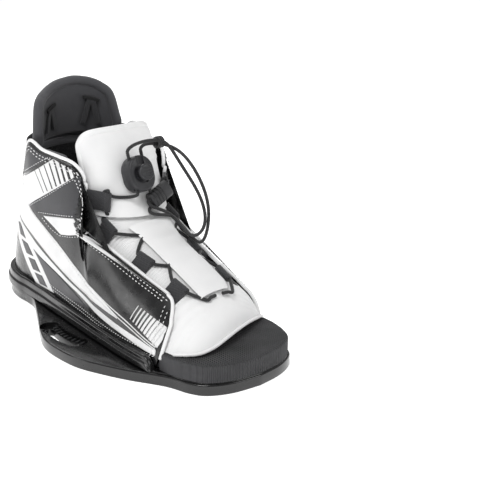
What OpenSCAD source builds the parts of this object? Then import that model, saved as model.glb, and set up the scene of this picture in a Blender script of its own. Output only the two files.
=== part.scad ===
// Open-toe wakeboard binding: a lace-up boot on a base plate, one foot of a pair.
// Millimetres. The plate stands on z = 0, midway between its ear slots is the origin.
// The toe points to -Y, the heel to +Y, and the big-toe side is -X.

/* [Base plate] */
// Distance between the two ear slots, the six-inch board pattern
slot_spacing = 152.4; // [140:0.1:160]
// Width of an ear slot, for an M6 screw
slot_w = 6.8; // [6.4:0.1:8]
// Half of the angle that an ear slot sweeps
slot_half_angle = 14; // [8:1:16]
// Thickness of the plate under the foot
plate_t = 10; // [8:0.5:12]
// Thickness of an ear
ear_t = 9; // [7:0.5:10]
// Height of the rim at the heel
rim_heel_z = 24; // [20:0.5:26]
// Height of the rim at its front ends
rim_front_z = 20; // [18:0.5:24]

/* [Boot] */
// Thickness of the glossy side panels
panel_t = 3; // [2:0.25:4]
// Thickness of the neoprene rear panel
rear_t = 4; // [3:0.25:5]
// Thickness of the foam ankle liner
liner_t = 5; // [3:0.5:7]
// Thickness of the padded rear flap
flap_t = 9; // [6:0.5:10]
// Height that the rear flap stands above the collar
flap_rise = 41; // [30:1:45]
// Thickness of the tongue
tongue_t = 6; // [4:0.5:8]
// Thickness of the stretch cover over the forefoot
cover_t = 2.4; // [1.5:0.1:3]
// Radius of the white piping
piping_r = 1.5; // [1:0.1:2]

/* [Footbed] */
// Height of the top of the footbed
footbed_z = 24; // [20:0.5:26]
// Depth of the clamp frame that holds the boot down
clamp_t = 4; // [3:0.5:5]

/* [Lacing] */
// Diameter of the lace
lace_d = 2.8; // [2:0.1:3.5]
// Length of the lace lock
lock_len = 30; // [24:1:34]
// Width of the lace lock
lock_w = 24; // [20:1:28]
// Depth of the lace lock
lock_depth = 13; // [12:0.5:15]
// Radius of the lock's plunger
plunger_r = 5.4; // [4.5:0.1:6]
// Travel of the lock's plunger
plunger_travel = 3.5; // [2:0.5:4]

/* [Hidden] */
$fn = 48;
gap = 0.3;

// ---------- Shared geometry ----------

// Half width of the boot at each height, [z, half width]
WIDTH_Z = [[10, 43], [40, 44], [50, 45.5], [65, 49], [80, 52.5], [95, 54.5], [125, 56.5], [155, 57]];
// Rearmost line of the boot at each height, [z, y]
HEEL_Z = [[10, 155], [40, 155], [50, 151], [65, 143.5], [80, 135], [95, 128.5], [110, 122],
    [125, 116.5], [155, 108.5]];

// Half outline of the base plate from heel to toe, [x, y]
PLATE = [[0, 159], [16, 157.5], [30, 151], [39, 139], [46, 120], [48, 100], [50, 84], [58, 67],
    [70, 44], [82, 22], [90, 2], [92, -20], [90, -45], [82, -68], [72, -90], [57, -117],
    [50.5, -138], [42, -150], [24, -158.5], [0, -162]];
// Half outline of the foot at sole level from heel to toe, [x, y]
FOOT = [[0, 155], [17, 152], [31, 142], [39.5, 128], [43.3, 112], [43.5, 98], [44.5, 82], [45.5, 66],
    [47, 52], [48.5, 36], [50, 20], [51.5, 4], [53, -12], [54.5, -28], [55.5, -44], [57, -62],
    [57.5, -78], [57.5, -94], [56.5, -104.5]];
// The rest of the sole outline, around the open toe, [x, y]
TOE = [[54, -118], [50, -134], [42, -148], [24, -157.5], [0, -161]];
// Rear piping line, from the heel seam up to the collar corner, [x, z]
REAR_EDGE = [[0, 53], [12, 55], [22, 62], [30, 74], [37, 92], [43, 115], [49, 140], [54.5, 155.5]];
// Collar and lacing edge, from the collar corner forward, [x, y, z]
FRONT_EDGE = [[53, 52, 150.5], [50, 34, 148], [46.5, 16, 145], [43, 7.5, 136], [42.5, 6.5, 122],
    [43.5, 8, 104], [43.5, 5, 91], [40.5, -30, 80.5], [37, -62, 70], [34.5, -88, 62.5],
    [33.5, -101, 57.5]];
// How far each station of a side panel bows outward, twice the rise at its middle
BOW = [4, 5, 6, 7, 8, 8, 8, 8, 8, 8, 9, 9, 9, 10, 10, 11, 11, 11, 10];

// Rows of the forefoot cover: [y at the ridge, y at the sole, half width, ridge height, squareness]
COVER_ROWS = [[-100, -100, 53, 64, 2.2], [-80, -80, 53.6, 73, 2.2], [-62, -60, 53.4, 80, 2.2],
    [-46, -40, 52, 87, 2.3], [-33, -20, 50, 94.5, 2.8], [-21.5, 3, 47, 103, 4.2], [-12, 14, 44, 111, 7]];
// Front edge of the forefoot cover, over the toes, from the -X side to the +X side, [x, y, z]
TOE_EDGE = [[-50, -118, 24.6], [-42, -128, 25.5], [-34, -133, 26.5], [-22, -134, 28.5], [-8, -131, 30.5],
    [10, -124.5, 31], [28, -117.5, 30], [44, -110.5, 27], [52, -106, 24.6]];

// Rows of the tongue: [z, y of its sides, half width, depth from sides to ridge]
TONGUE_ROWS = [[104, 17, 38.8, 44], [112, 18, 39, 38], [122, 19, 39.2, 33], [136, 21, 39.2, 28],
    [148, 24, 40.5, 25.5], [159, 28, 42, 23], [169, 32, 42.5, 21]];

// Catmull-Rom step and spline through a list of points
function step4(a, b, c, d, t) =
    0.5 * (2 * b + (c - a) * t + (2 * a - 5 * b + 4 * c - d) * t * t + (3 * b - a - 3 * c + d) * t * t * t);
function spline(list, u) =
    let (last = len(list) - 1, i = min(max(floor(u), 0), last - 1))
    step4(list[max(i - 1, 0)], list[i], list[i + 1], list[min(i + 2, last)], u - i);
function unit(v) = v / norm(v);
function reversed(list) = [for (i = [len(list) - 1:-1:0]) list[i]];
function flat(rows) = [for (row = rows) for (p = row) p];
function mix(a, b, t) = a + (b - a) * t;

// A point on the round back of the boot, at offset x and height z, moved inward by depth
function back_point(x, z, depth = 0) =
    let (w = lookup(z, WIDTH_Z), k = (w - depth) / w)
    [x * k, lookup(z, HEEL_Z) - w + sqrt(w * w - x * x) * k, z];

// Top edge of a side panel, all stations from the heel seam to the front
TOP_EDGE = concat([for (p = REAR_EDGE) back_point(p[0], p[1])], FRONT_EDGE);
last_station = len(TOP_EDGE) - 1;
panel_foot_z = 14;

// A point on the outer skin of the +X side panel: u counts stations, v runs from sole to top edge
function panel_point(u, v) =
    let (
        f = spline(FOOT, u),
        foot = [f[0], f[1], panel_foot_z],
        top = spline(TOP_EDGE, u),
        middle = (foot + top) / 2,
        out = unit([middle[0], max(middle[1] - 70, 0) * 0.9, u > 11 ? 3.5 * (u - 11) : 0]),
        bulge = [0, -9 * pow(max(u - 15, 0) / 3, 2), 0],
        handle = middle + out * spline([for (b = BOW) [b, 0]], u)[0] + bulge
    )
    (1 - v) * (1 - v) * foot + 2 * v * (1 - v) * handle + v * v * top;
function panel_normal(u, v) =
    let (
        u0 = max(u - 0.1, 0), u1 = min(u + 0.1, last_station),
        v0 = max(v - 0.05, 0), v1 = min(v + 0.05, 1),
        n = cross(panel_point(u, v1) - panel_point(u, v0), panel_point(u1, v) - panel_point(u0, v))
    )
    unit(n[0] < 0 && u > 1 ? -n : (n[1] < 0 && u <= 1 ? -n : n));
function panel_skin(u, v, depth) =
    let (p = panel_point(u, v) - panel_normal(u, v) * depth)
    [max(p[0], 0.15), p[1], p[2]];
// Direction in the panel's surface that points away from it across its top edge
function edge_out(u) =
    let (
        t = panel_point(min(u + 0.1, last_station), 1) - panel_point(max(u - 0.1, 0), 1),
        e = unit(cross(panel_normal(u, 1), t)),
        inward = panel_point(u, 0.9) - panel_point(u, 1)
    )
    e * inward > 0 ? -e : e;

// Height of the rim at a place along the boot
function rim_z(y) = mix(rim_front_z, rim_heel_z, (y + 105) / 260);

// A point on the cover: row r may be fractional, angle a runs from -90 to 90, depth goes inward
function arch(row, a, depth) =
    let (
        s = abs(sin(a)), side = sign(a),
        across = pow(s, 2 / row[4]), up = pow(cos(a), 3.3 / row[4])
    )
    [side * (row[2] - depth) * across,
        mix(row[0], row[1], pow(across, 1.6)),
        footbed_z + 0.6 + (row[3] - depth - footbed_z - 0.6) * up];
function cover_point(r, a, depth) =
    r >= 0 ? arch(spline(COVER_ROWS, r), a, depth) :
    let (
        t = -r,
        from = arch(COVER_ROWS[0], a, depth),
        edge = spline(TOE_EDGE, (a + 90) / 180 * (len(TOE_EDGE) - 1)),
        to = edge + [-sin(a) * depth, depth * cos(a), 0],
        pull = [mix(from[0], to[0], 0.8), to[1] + 4 * cos(a), mix(from[2], to[2], 0.25)]
    )
    (1 - t) * (1 - t) * from + 2 * t * (1 - t) * pull + t * t * to;

// A point on the tongue: row j may be fractional, t runs from -1 to 1 across it, depth goes inward
tongue_spread = [95, 62];
function tongue_point(j, t, depth) =
    let (
        row = spline(TONGUE_ROWS, j),
        a = t * mix(tongue_spread[0], tongue_spread[1], j / 6),
        corner = (4 * pow(abs(t), 3) + 9 * pow(abs(t), 10)) * j / 6
    )
    [(row[2] - depth) * sin(a), row[1] - (row[3] - depth) * cos(a), row[0] - corner];

// ---------- Shared solids ----------

function quad(a, b, c, d) = [[a, b, c], [a, c, d]];
// A closed shell between two grids of points with equal rows and columns
module shell(outer, inner) {
    rows = len(outer);
    cols = len(outer[0]);
    far = rows * cols;
    skins = [for (i = [0:rows - 2]) for (j = [0:cols - 2]) for (q = concat(
        quad(i * cols + j, i * cols + j + 1, (i + 1) * cols + j + 1, (i + 1) * cols + j),
        quad(far + i * cols + j, far + (i + 1) * cols + j, far + (i + 1) * cols + j + 1,
            far + i * cols + j + 1))) q];
    ends = [for (j = [0:cols - 2]) for (q = concat(
        quad(j, far + j, far + j + 1, j + 1),
        quad((rows - 1) * cols + j, (rows - 1) * cols + j + 1, far + (rows - 1) * cols + j + 1,
            far + (rows - 1) * cols + j))) q];
    sides = [for (i = [0:rows - 2]) for (q = concat(
        quad(i * cols, (i + 1) * cols, far + (i + 1) * cols, far + i * cols),
        quad((i + 1) * cols - 1, far + (i + 1) * cols - 1, far + (i + 2) * cols - 1,
            (i + 2) * cols - 1))) q];
    polyhedron(points = concat(flat(outer), flat(inner)), faces = concat(skins, ends, sides), convexity = 6);
}

// A tube along a path; side is a vector that is never in line with the path
module tube(path, r, side, sides = 8) {
    last = len(path) - 1;
    rings = [for (i = [0:last])
        let (
            t = unit(path[min(i + 1, last)] - path[max(i - 1, 0)]),
            n = unit(cross(t, side)),
            b = cross(t, n)
        )
        for (k = [0:sides - 1]) path[i] + r * (cos(k * 360 / sides) * n + sin(k * 360 / sides) * b)];
    walls = [for (i = [0:last - 1]) for (k = [0:sides - 1])
        let (m = (k + 1) % sides)
        for (q = quad(i * sides + k, (i + 1) * sides + k, (i + 1) * sides + m, i * sides + m)) q];
    start = [[for (k = [0:sides - 1]) k]];
    end = [[for (k = [sides - 1:-1:0]) last * sides + k]];
    polyhedron(points = rings, faces = concat(walls, start, end), convexity = 8);
}

function smooth(list, per) =
    [for (i = [0:(len(list) - 1) * per]) spline(list, i / per)];
// A closed outline from a half outline on the +X side
function both_sides(half) =
    concat(half, reversed([for (i = [1:len(half) - 2]) [-half[i][0], half[i][1]]]));
function inset_half(half, d) =
    [for (p = half) [max(p[0] - d, 0), p[1] > 110 ? p[1] - d * (p[1] - 110) / 45 : p[1]]];

// ---------- Base ----------

module slot_cut(side) {
    r = slot_spacing / 2;
    mirror([side < 0 ? 1 : 0, 0, 0]) {
        rotate([0, 0, -slot_half_angle])
            rotate_extrude(angle = 2 * slot_half_angle)
                translate([r - slot_w / 2, -1])
                    square([slot_w, plate_t + 2]);
        for (a = [-slot_half_angle, slot_half_angle])
            rotate([0, 0, a])
                translate([r, 0, -1])
                    cylinder(d = slot_w, h = plate_t + 2);
    }
}

module ear_recess(side) {
    r = slot_spacing / 2;
    mirror([side < 0 ? 1 : 0, 0, 0]) {
        translate([0, 0, ear_t - 3.5])
            rotate([0, 0, -slot_half_angle - 5])
                rotate_extrude(angle = 2 * slot_half_angle + 10)
                    translate([r - 9, 0])
                        square([17, 6]);
        for (i = [-3:3])
            rotate([0, 0, i * 5.2])
                translate([r - 9, 0, ear_t - 5.5])
                    cylinder(r = 2.3, h = 8);
    }
}

module rim() {
    half = smooth(FOOT, 2);
    inside = inset_half(half, -0.4);
    outside = inset_half(half, -4.6);
    path_in = concat(reversed([for (i = [1:len(half) - 1]) [-inside[i][0], inside[i][1]]]), inside);
    path_out = concat(reversed([for (i = [1:len(half) - 1]) [-outside[i][0], outside[i][1]]]), outside);
    shell(
        [for (z = [0, 1]) [for (p = path_out) [p[0], p[1], z == 0 ? plate_t - 1 : rim_z(p[1])]]],
        [for (z = [0, 1]) [for (p = path_in) [p[0], p[1], z == 0 ? plate_t - 1 : rim_z(p[1])]]]);
}

SCREWS = [[0, 135], [26, 112], [-26, 112], [32, 40], [-32, 40], [38, -40], [-38, -40], [34, -92], [-34, -92]];

module base_plate() {
    outline = both_sides(smooth(PLATE, 3));
    color("#1c1c1e")
        difference() {
            union() {
                linear_extrude(height = ear_t)
                    polygon(outline);
                linear_extrude(height = plate_t)
                    polygon(both_sides(smooth(concat(inset_half(FOOT, -4.6), TOE), 2)));
                rim();
            }
            for (side = [-1, 1]) {
                slot_cut(side);
                ear_recess(side);
            }
            for (p = SCREWS)
                translate([p[0], p[1], 3])
                    cylinder(r = 2.5, h = plate_t);
        }
}

module clamp_frame() {
    color("#8a8d90")
        difference() {
            translate([0, 0, plate_t])
                linear_extrude(height = clamp_t)
                    polygon(both_sides(concat([[0, 147]], inset_half([for (i = [1:len(FOOT) - 2]) FOOT[i]], 8),
                        [[0, -97]])));
            translate([0, 0, plate_t - 1])
                linear_extrude(height = clamp_t + 2)
                    polygon([[0, 122], [16, 104], [22, 60], [27, 0], [25, -60], [20, -80], [0, -84],
                        [-20, -80], [-25, -60], [-27, 0], [-22, 60], [-16, 104]]);
            for (p = SCREWS) {
                translate([p[0], p[1], plate_t - 1])
                    cylinder(r = 2.7, h = clamp_t + 2);
                translate([p[0], p[1], plate_t + clamp_t - 2.6])
                    cylinder(r = 4.7, h = 4);
            }
        }
}

module clamp_screws() {
    color("#c9ccd0")
        for (p = SCREWS)
            translate([p[0], p[1], 0]) {
                translate([0, 0, 3.5])
                    cylinder(r = 2.45, h = plate_t + clamp_t - 6);
                translate([0, 0, plate_t + clamp_t - 2.6])
                    difference() {
                        cylinder(r = 4.4, h = 2.4);
                        translate([0, 0, 1])
                            cylinder(r = 1.7, h = 2, $fn = 6);
                    }
            }
}

module footbed() {
    inner = inset_half(FOOT, 4);
    color("#454547")
        union() {
            translate([0, 0, plate_t + clamp_t + 0.2])
                linear_extrude(height = footbed_z - plate_t - clamp_t - 0.2)
                    polygon(both_sides(smooth(concat(inner, [[50, -106.4], [48, -112], [0, -114]]), 1)));
            translate([0, 0, plate_t])
                linear_extrude(height = footbed_z - plate_t)
                    polygon(both_sides(concat([[0, -106.5], [55.8, -106.5]], smooth(TOE, 4))));
        }
}

// ---------- Boot upper ----------

// Where the side panels end over the forefoot: the little-toe side stops shorter
front_left = 17.35;
front_right = last_station;
module side_panel(front) {
    stations = 38;
    steps = 9;
    grid = [for (d = [0, panel_t]) [for (i = [0:stations]) [for (j = [0:steps])
        panel_skin(i * front / stations, j / steps, d)]]];
    shell(grid[1], grid[0]);
}

module side_panel_left() {
    color("#161618") side_panel(front_left);
}

module side_panel_right() {
    color("#161618") mirror([1, 0, 0]) side_panel(front_right);
}

module piping(front_u) {
    lift = piping_r + 0.1;
    top = [for (i = [0:46])
        let (u = 0.15 + i * (front_u - 0.45) / 46)
        panel_point(u, 1) + edge_out(u) * lift - panel_normal(u, 1) * panel_t / 2];
    front = [for (v = [0.97, 0.8, 0.6, 0.4, 0.2])
        panel_point(front_u, v) + [0, -lift, 0] - panel_normal(front_u, v) * panel_t / 2];
    tube([for (p = concat(top, front)) [max(p[0], piping_r + 0.2), p[1], p[2]]], piping_r, [0.3, 0.35, 0.9]);
}

module piping_left() {
    color("#f2f2f2") piping(front_left);
}

module piping_right() {
    color("#f2f2f2") mirror([1, 0, 0]) piping(front_right);
}

module rear_panel() {
    away = 2 * piping_r + 0.5;
    edge = [for (i = [0:14])
        let (u = 0.5 + i * 0.5 * 13 / 14)
        panel_point(u, 1) + edge_out(u) * away];
    half = 9;
    rows = [for (d = [0, rear_t]) [for (p = edge) [for (j = [-half:half])
        back_point(p[0] * j / half, min(p[2], 154.5), d)]]];
    color("#3f3f42") shell(rows[0], rows[1]);
}

module label_patch() {
    half = 7;
    rows = [for (d = [-0.15, -0.75]) [for (z = [91:8:131]) [for (j = [-half:half])
        back_point(34 * j / half, z, d)]]];
    color("#e8792b") shell(rows[1], rows[0]);
}

// Half width of the liner's front ends at each height, [z, x]
LINER_FRONT = [[26, 43.5], [60, 46.5], [85, 48], [120, 47], [141, 45]];
module ankle_liner() {
    skin = max(panel_t, rear_t) + gap;
    front_y = 32;
    arc_steps = 10;
    rows = [for (d = [skin, skin + liner_t]) [for (z = [25, 40, 55, 70, 85, 100, 115, 130, 141])
        let (
            w = lookup(z, WIDTH_Z) - d,
            c = lookup(z, HEEL_Z) - lookup(z, WIDTH_Z),
            x = lookup(z, LINER_FRONT) - (d - skin),
            side = [for (k = [0:3]) [mix(x, w, pow(k / 4, 0.7)), mix(front_y, c, k / 4)]],
            arc = [for (k = [0:arc_steps]) [w * cos(90 * k / arc_steps), c + w * sin(90 * k / arc_steps)]],
            half = concat(side, arc)
        )
        [for (p = concat(half, reversed([for (i = [0:len(half) - 2]) [-half[i][0], half[i][1]]])))
            [p[0], p[1], z]]]];
    color("#2c2c2e") shell(rows[1], rows[0]);
}

flap_r = lookup(155, WIDTH_Z) - rear_t - 0.8;
flap_y = lookup(155, HEEL_Z) - lookup(155, WIDTH_Z);
flap_foot_z = 149.5;
flap_half_angle = 60;
flap_lean = 0.1;
// Share of the full rise that the flap reaches, from its -X end to its +X end
FLAP_RISE = [0.07, 0.59, 0.744, 0.817, 0.89, 0.95, 0.98, 1, 0.976, 0.927, 0.83, 0.646, 0.07];
function flap_point(a, v, depth) =
    let (
        station = (a / flap_half_angle + 1) / 2 * (len(FLAP_RISE) - 1),
        top = 155 + flap_rise * spline(FLAP_RISE, station),
        z = mix(flap_foot_z, top, v)
    )
    [(flap_r - depth) * sin(a), flap_y + (flap_r - depth) * cos(a) - flap_lean * (z - flap_foot_z), z];

module rear_flap() {
    rows = [for (d = [0, flap_t]) [for (i = [0:5]) [for (a = [-12:12])
        flap_point(a * flap_half_angle / 12, i / 5, d)]]];
    color("#4a4a4d") shell(rows[0], rows[1]);
}

module pull_loop(side) {
    a = side * 30;
    p = flap_point(a, 0.42, flap_t + 1.4);
    color("#3a3a3c")
        translate(p)
            rotate([0, 0, -a])
                rotate([90 + atan(flap_lean), 0, 0])
                    linear_extrude(height = 1.8)
                        polygon([[-10, -11], [-4, -11], [0, 3], [4, -11], [10, -11], [3.5, 12], [-3.5, 12]]);
}

module pull_loop_left() {
    pull_loop(1);
}

module pull_loop_right() {
    pull_loop(-1);
}

module collar_pad(side) {
    path = smooth([[45.3, 59, 147.5], [44.5, 50, 146.5], [43.2, 40, 146], [41.8, 31, 145.8]], 3);
    color("#303033")
        tube([for (p = path) [side * p[0], p[1], p[2]]], 3.9, [0, 0, 1], 12);
}

module collar_pad_left() {
    collar_pad(1);
}

module collar_pad_right() {
    collar_pad(-1);
}

module forefoot_cover() {
    rows_back = (len(COVER_ROWS) - 1) * 2;
    rs = concat([for (i = [5:-1:1]) -i / 5], [for (i = [0:rows_back]) i / 2]);
    rows = [for (d = [0, cover_t]) [for (r = rs) [for (a = [-9:9]) cover_point(r, a * 10, d)]]];
    color("#f0f0f0") shell(rows[1], rows[0]);
}

// Strip along the ridge that the laces pass under
keeper_lift = 3.2;
keeper_t = 0.8;
keeper_angle = 15;
module lace_keeper() {
    rows = [for (d = [keeper_lift + keeper_t, keeper_lift]) [for (r = [-0.2, 0, 0.5, 1, 1.5, 2, 2.5, 3, 3.5, 4, 4.3])
        [for (j = [-6:6]) cover_point(r, keeper_angle * j / 6, -d)]]];
    color("#fafafa") shell(rows[1], rows[0]);
}

module tongue() {
    rows = [for (d = [0, tongue_t]) [for (j = [0:12]) [for (a = [-10:10])
        tongue_point(j / 2, a / 10, d)]]];
    color("#f4f4f4") shell(rows[1], rows[0]);
}

// ---------- Lacing ----------

// Stations along the lacing edge where the lace loops are sewn, the ankle first
LOOP_STATIONS = [12.2, 14.45, 15.7, 17.2];
loop_w = 16;
loop_r = 2.9;
lace_r = lace_d / 2;
eye_lift = loop_r + gap;
// Eyes of the loops on the +X side: the first lies on the tongue, the others on the cover
EYES = [tongue_point(1.5, 0.52, -eye_lift), cover_point(4.75, 25, -eye_lift),
    cover_point(2.5, 24, -eye_lift), cover_point(0.45, 21, -eye_lift)];
function loop_base(i) =
    let (u = LOOP_STATIONS[i])
    panel_point(u, 1) - panel_normal(u, 1) * (panel_t + 1.6);
function loop_reach(i) = unit(EYES[i] - loop_base(i));
function loop_bore(i) =
    let (
        u = LOOP_STATIONS[i],
        t = unit(panel_point(u + 0.2, 1) - panel_point(u - 0.2, 1)),
        r = loop_reach(i)
    )
    unit(t - r * (t * r));

// A tab of webbing folded round the lace: a flat tail and a round eye
module lace_loop(i, side) {
    bore = loop_bore(i);
    reach = loop_reach(i);
    n = cross(bore, reach);
    eye = EYES[i];
    tail = norm(eye - loop_base(i)) + 5;
    color("#303032")
        mirror([side < 0 ? 1 : 0, 0, 0])
            multmatrix([
                [reach[0], n[0], bore[0], eye[0]],
                [reach[1], n[1], bore[1], eye[1]],
                [reach[2], n[2], bore[2], eye[2]],
                [0, 0, 0, 1]
            ])
                translate([0, 0, -loop_w / 2])
                    difference() {
                        union() {
                            cylinder(r = loop_r, h = loop_w);
                            translate([-tail, -1.1, 0])
                                cube([tail, 2.2, loop_w]);
                        }
                        translate([0, 0, -1])
                            cylinder(r = lace_r + 0.35, h = loop_w + 2);
                    }
}

module lace_loop_left_1() {
    lace_loop(0, 1);
}

module lace_loop_left_2() {
    lace_loop(1, 1);
}

module lace_loop_left_3() {
    lace_loop(2, 1);
}

module lace_loop_left_4() {
    lace_loop(3, 1);
}

module lace_loop_right_1() {
    lace_loop(0, -1);
}

module lace_loop_right_2() {
    lace_loop(1, -1);
}

module lace_loop_right_3() {
    lace_loop(2, -1);
}

module lace_loop_right_4() {
    lace_loop(3, -1);
}

// Places the lock's parts: +Z is outward from the tongue, +Y is up along the laces
lock_pos = [-4, -16.5, 137];
lock_tilt = 69;
lock_up = [0, cos(lock_tilt), sin(lock_tilt)];
lock_out = [0, -sin(lock_tilt), cos(lock_tilt)];
cord_offset = 6.6;
cord_height = 1.5;
module lock_frame() {
    translate(lock_pos)
        rotate([lock_tilt, 0, 0])
            children();
}
function lock_place(side, up) = lock_pos + [side * cord_offset, 0, 0] + lock_up * up + lock_out * cord_height;
lock_exit = lock_len / 2 + 3.8;

// Rows of the cover where the laces cross under the keeper, and where they end
CROSS_ROWS = [5.3, 3.65, 1.5, -0.25];
// Half of the crossing laces: it starts in the lock on its own side and zigzags down to the toe
function across(row, side, from) =
    [for (a = [13, 6, 0, -6, -13])
        let (p = cover_point(row + side * 0.09, a * from, -lace_r - gap))
        [side * p[0], p[1], p[2]]];
function through(i, side) =
    [for (k = [-0.62, -0.4, 0, 0.4, 0.62])
        let (p = EYES[i] + loop_bore(i) * loop_w * k)
        [side * p[0], p[1], p[2]]];
module lace_run(side) {
    to_loop = [for (q = [[1.75, 0.24], [1.85, 0.42], [2.15, 0.56]])
        let (p = tongue_point(q[0], q[1], -lace_r - 0.6))
        [side * p[0], p[1], p[2]]];
    path = concat(
        [for (up = [lock_exit, 8, 0, -8, -lock_len / 2 - 1]) lock_place(side, up)],
        to_loop,
        through(0, side),
        across(CROSS_ROWS[0], side, 1),
        through(1, -side),
        across(CROSS_ROWS[1], side, -1),
        through(2, side),
        across(CROSS_ROWS[2], side, 1),
        through(3, -side),
        [for (a = [-11, -6, -0.6])
            let (p = cover_point(CROSS_ROWS[3], a, -lace_r - gap))
            [side * p[0], p[1], p[2]]]);
    color("#1d1d1f") tube(path, lace_r, [0, -0.35, 0.94]);
}

module lace_run_left() {
    lace_run(1);
}

module lace_run_right() {
    lace_run(-1);
}

module stadium(w, l, h) {
    translate([-w / 2, -(l - w) / 2, 0])
        cube([w, l - w, h]);
    for (end = [-1, 1])
        translate([0, end * (l - w) / 2, 0])
            cylinder(r = w / 2, h = h);
}

bar = [18.6, 9.4, 2.7];
bar_z = -2.8;
module lock_body() {
    depth = lock_depth + 1;
    color("#232325")
        lock_frame()
            difference() {
                translate([0, 0, -depth / 2])
                    stadium(lock_w, lock_len, depth);
                // Bore that guides the plunger
                translate([0, 0, -1])
                    cylinder(r = plunger_r - 0.75, h = depth);
                // Chamber that the pinch bar moves in
                translate([-bar[0] / 2 - 0.2, -bar[1] / 2 - 0.2, bar_z - plunger_travel - 0.1])
                    cube([bar[0] + 0.4, bar[1] + 0.4, plunger_travel + bar[2] + 0.4]);
                // Channels for the two lace ends
                for (side = [-1, 1])
                    translate([side * cord_offset, 0, cord_height])
                        rotate([90, 0, 0])
                            cylinder(r = lace_r + 0.35, h = lock_len + 2, center = true);
                // Finger groove across the upper end
                translate([0, lock_len / 2 + 2, depth / 2 + 1])
                    rotate([0, 90, 0])
                        cylinder(r = 4.5, h = 7, center = true);
            }
}

module lock_plunger() {
    stem_r = plunger_r - 0.8;
    depth = lock_depth + 1;
    color("#3a3a3d")
        lock_frame()
            difference() {
                union() {
                    translate([-bar[0] / 2, -bar[1] / 2, bar_z])
                        cube(bar);
                    translate([0, 0, bar_z])
                        cylinder(r = stem_r, h = depth / 2 - bar_z + 3.6);
                    translate([0, 0, depth / 2 + plunger_travel + 0.1])
                        cylinder(r = 7, h = 3);
                }
                translate([0, 0, bar_z - 1])
                    cylinder(r = stem_r - 1.3, h = 9.2);
            }
}

spring_z = bar_z - plunger_travel - 0.1;
module lock_spring() {
    r = plunger_r - 2.75;
    turns = 5;
    wire = 0.35;
    rise = bar_z - 1 + 9.2 - spring_z - 2 * wire - 0.2;
    path = [for (k = [0:turns * 12])
        [r * cos(k * 30), r * sin(k * 30), spring_z + wire + 0.05 + rise * k / (turns * 12)]];
    color("#b8bcc0")
        lock_frame()
            tube(path, wire, [0, 0, 1], 6);
}

// Routes of the two lace ends above the lock, over the knot, down and back up to the grip
TAIL_RIGHT = [[-9.4, -12.6, 160], [-5.6, -17, 163.2], [0.5, -21, 165], [5.5, -23.4, 165.3], [9.5, -24.5, 164.8],
    [14.5, -26.2, 164], [17, -31, 161.5], [16.5, -38, 155], [16, -47, 148], [16.5, -60, 137.5],
    [17, -69.5, 128], [17.5, -75, 118.5], [18, -76.5, 107.5], [18.5, -73, 99.5], [19, -66, 92.5],
    [20, -58, 88.5], [21, -50, 88], [21.5, -42, 91.5], [22, -34, 96], [20, -28, 101], [13, -29.5, 105.5],
    [5, -29.8, 109], [-2, -27.5, 112]];
TAIL_LEFT = [[3.4, -12.6, 159.4], [5.4, -16.2, 161.2], [9.5, -20.4, 161.4], [14.5, -22.3, 160.6], [19, -28, 160],
    [20.5, -38, 158], [20, -48, 154.5], [19.5, -57, 149], [19.5, -65, 142], [20, -71.5, 133],
    [20.5, -76.5, 122], [21, -77, 109], [21.5, -73.5, 98], [22, -70, 89], [22.5, -64.5, 84], [23.5, -58.5, 83],
    [24.5, -52, 84.5], [25, -45, 87.5], [25.5, -37, 91], [26, -29, 94.5], [23, -27.5, 99],
    [15, -31, 102], [7, -31.8, 103.5], [0, -30, 105], [-3.8, -28, 107]];
grip_pos = [11, -24.5, 118.5];
grip_tilt = 63;
grip_len = 20;
grip_w = 15;
grip_depth = 11;
grip_hole = 3.2;
grip_axis = [sin(grip_tilt), 0, cos(grip_tilt)];
grip_side = [cos(grip_tilt), 0, -sin(grip_tilt)];
function grip_place(side, along) = grip_pos + grip_side * side * grip_hole + grip_axis * along;

module lace_tail(side, route) {
    path = concat(
        [lock_place(side, lock_exit), lock_place(side, lock_exit + 1.5)],
        route,
        [for (along = [-grip_len / 2 - 3.5, -grip_len / 2, -grip_len / 2 + 7]) grip_place(side, along)]);
    color("#1d1d1f") tube(smooth(path, 2), lace_r, [1, 0.12, 0.05]);
}

module lace_tail_left() {
    lace_tail(1, TAIL_LEFT);
}

module lace_tail_right() {
    lace_tail(-1, TAIL_RIGHT);
}

knot_pos = [12, -23.4, 162.6];
module tail_knot() {
    color("#222224")
        translate(knot_pos)
            rotate([0, 90, -19])
                difference() {
                    cylinder(r = 5, h = 7, center = true);
                    for (side = [-1, 1])
                        translate([side * 1.9, 0, 0])
                            cylinder(r = 1.75, h = 9, center = true);
                }
}

module grip_frame() {
    translate(grip_pos)
        rotate([0, grip_tilt, 0])
            children();
}

module oval(w, d, h) {
    translate([-(w - d) / 2, -d / 2, 0])
        cube([w - d, d, h]);
    for (end = [-1, 1])
        translate([end * (w - d) / 2, 0, 0])
            cylinder(d = d, h = h);
}

module cord_grip() {
    color("#2a2a2c")
        grip_frame()
            difference() {
                translate([0, 0, -grip_len / 2])
                    oval(grip_w, grip_depth, grip_len);
                for (k = [-3:-1])
                    translate([0, 0, k * 2.4 - 0.6])
                        difference() {
                            oval(grip_w + 2, grip_depth + 2, 0.9);
                            translate([0, 0, -0.1])
                                oval(grip_w - 1, grip_depth - 1, 1.1);
                        }
                translate([0, 0, 1])
                    oval(grip_w - 3.4, grip_depth - 3.4, grip_len);
                for (side = [-1, 1])
                    translate([side * grip_hole, 0, -grip_len / 2 - 1])
                        cylinder(r = lace_r + 0.15, h = grip_len);
            }
}

module cord_grip_plug() {
    color("#151516")
        grip_frame()
            translate([0, 0, 1.2])
                oval(grip_w - 3.8, grip_depth - 3.8, 4.5);
}

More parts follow.
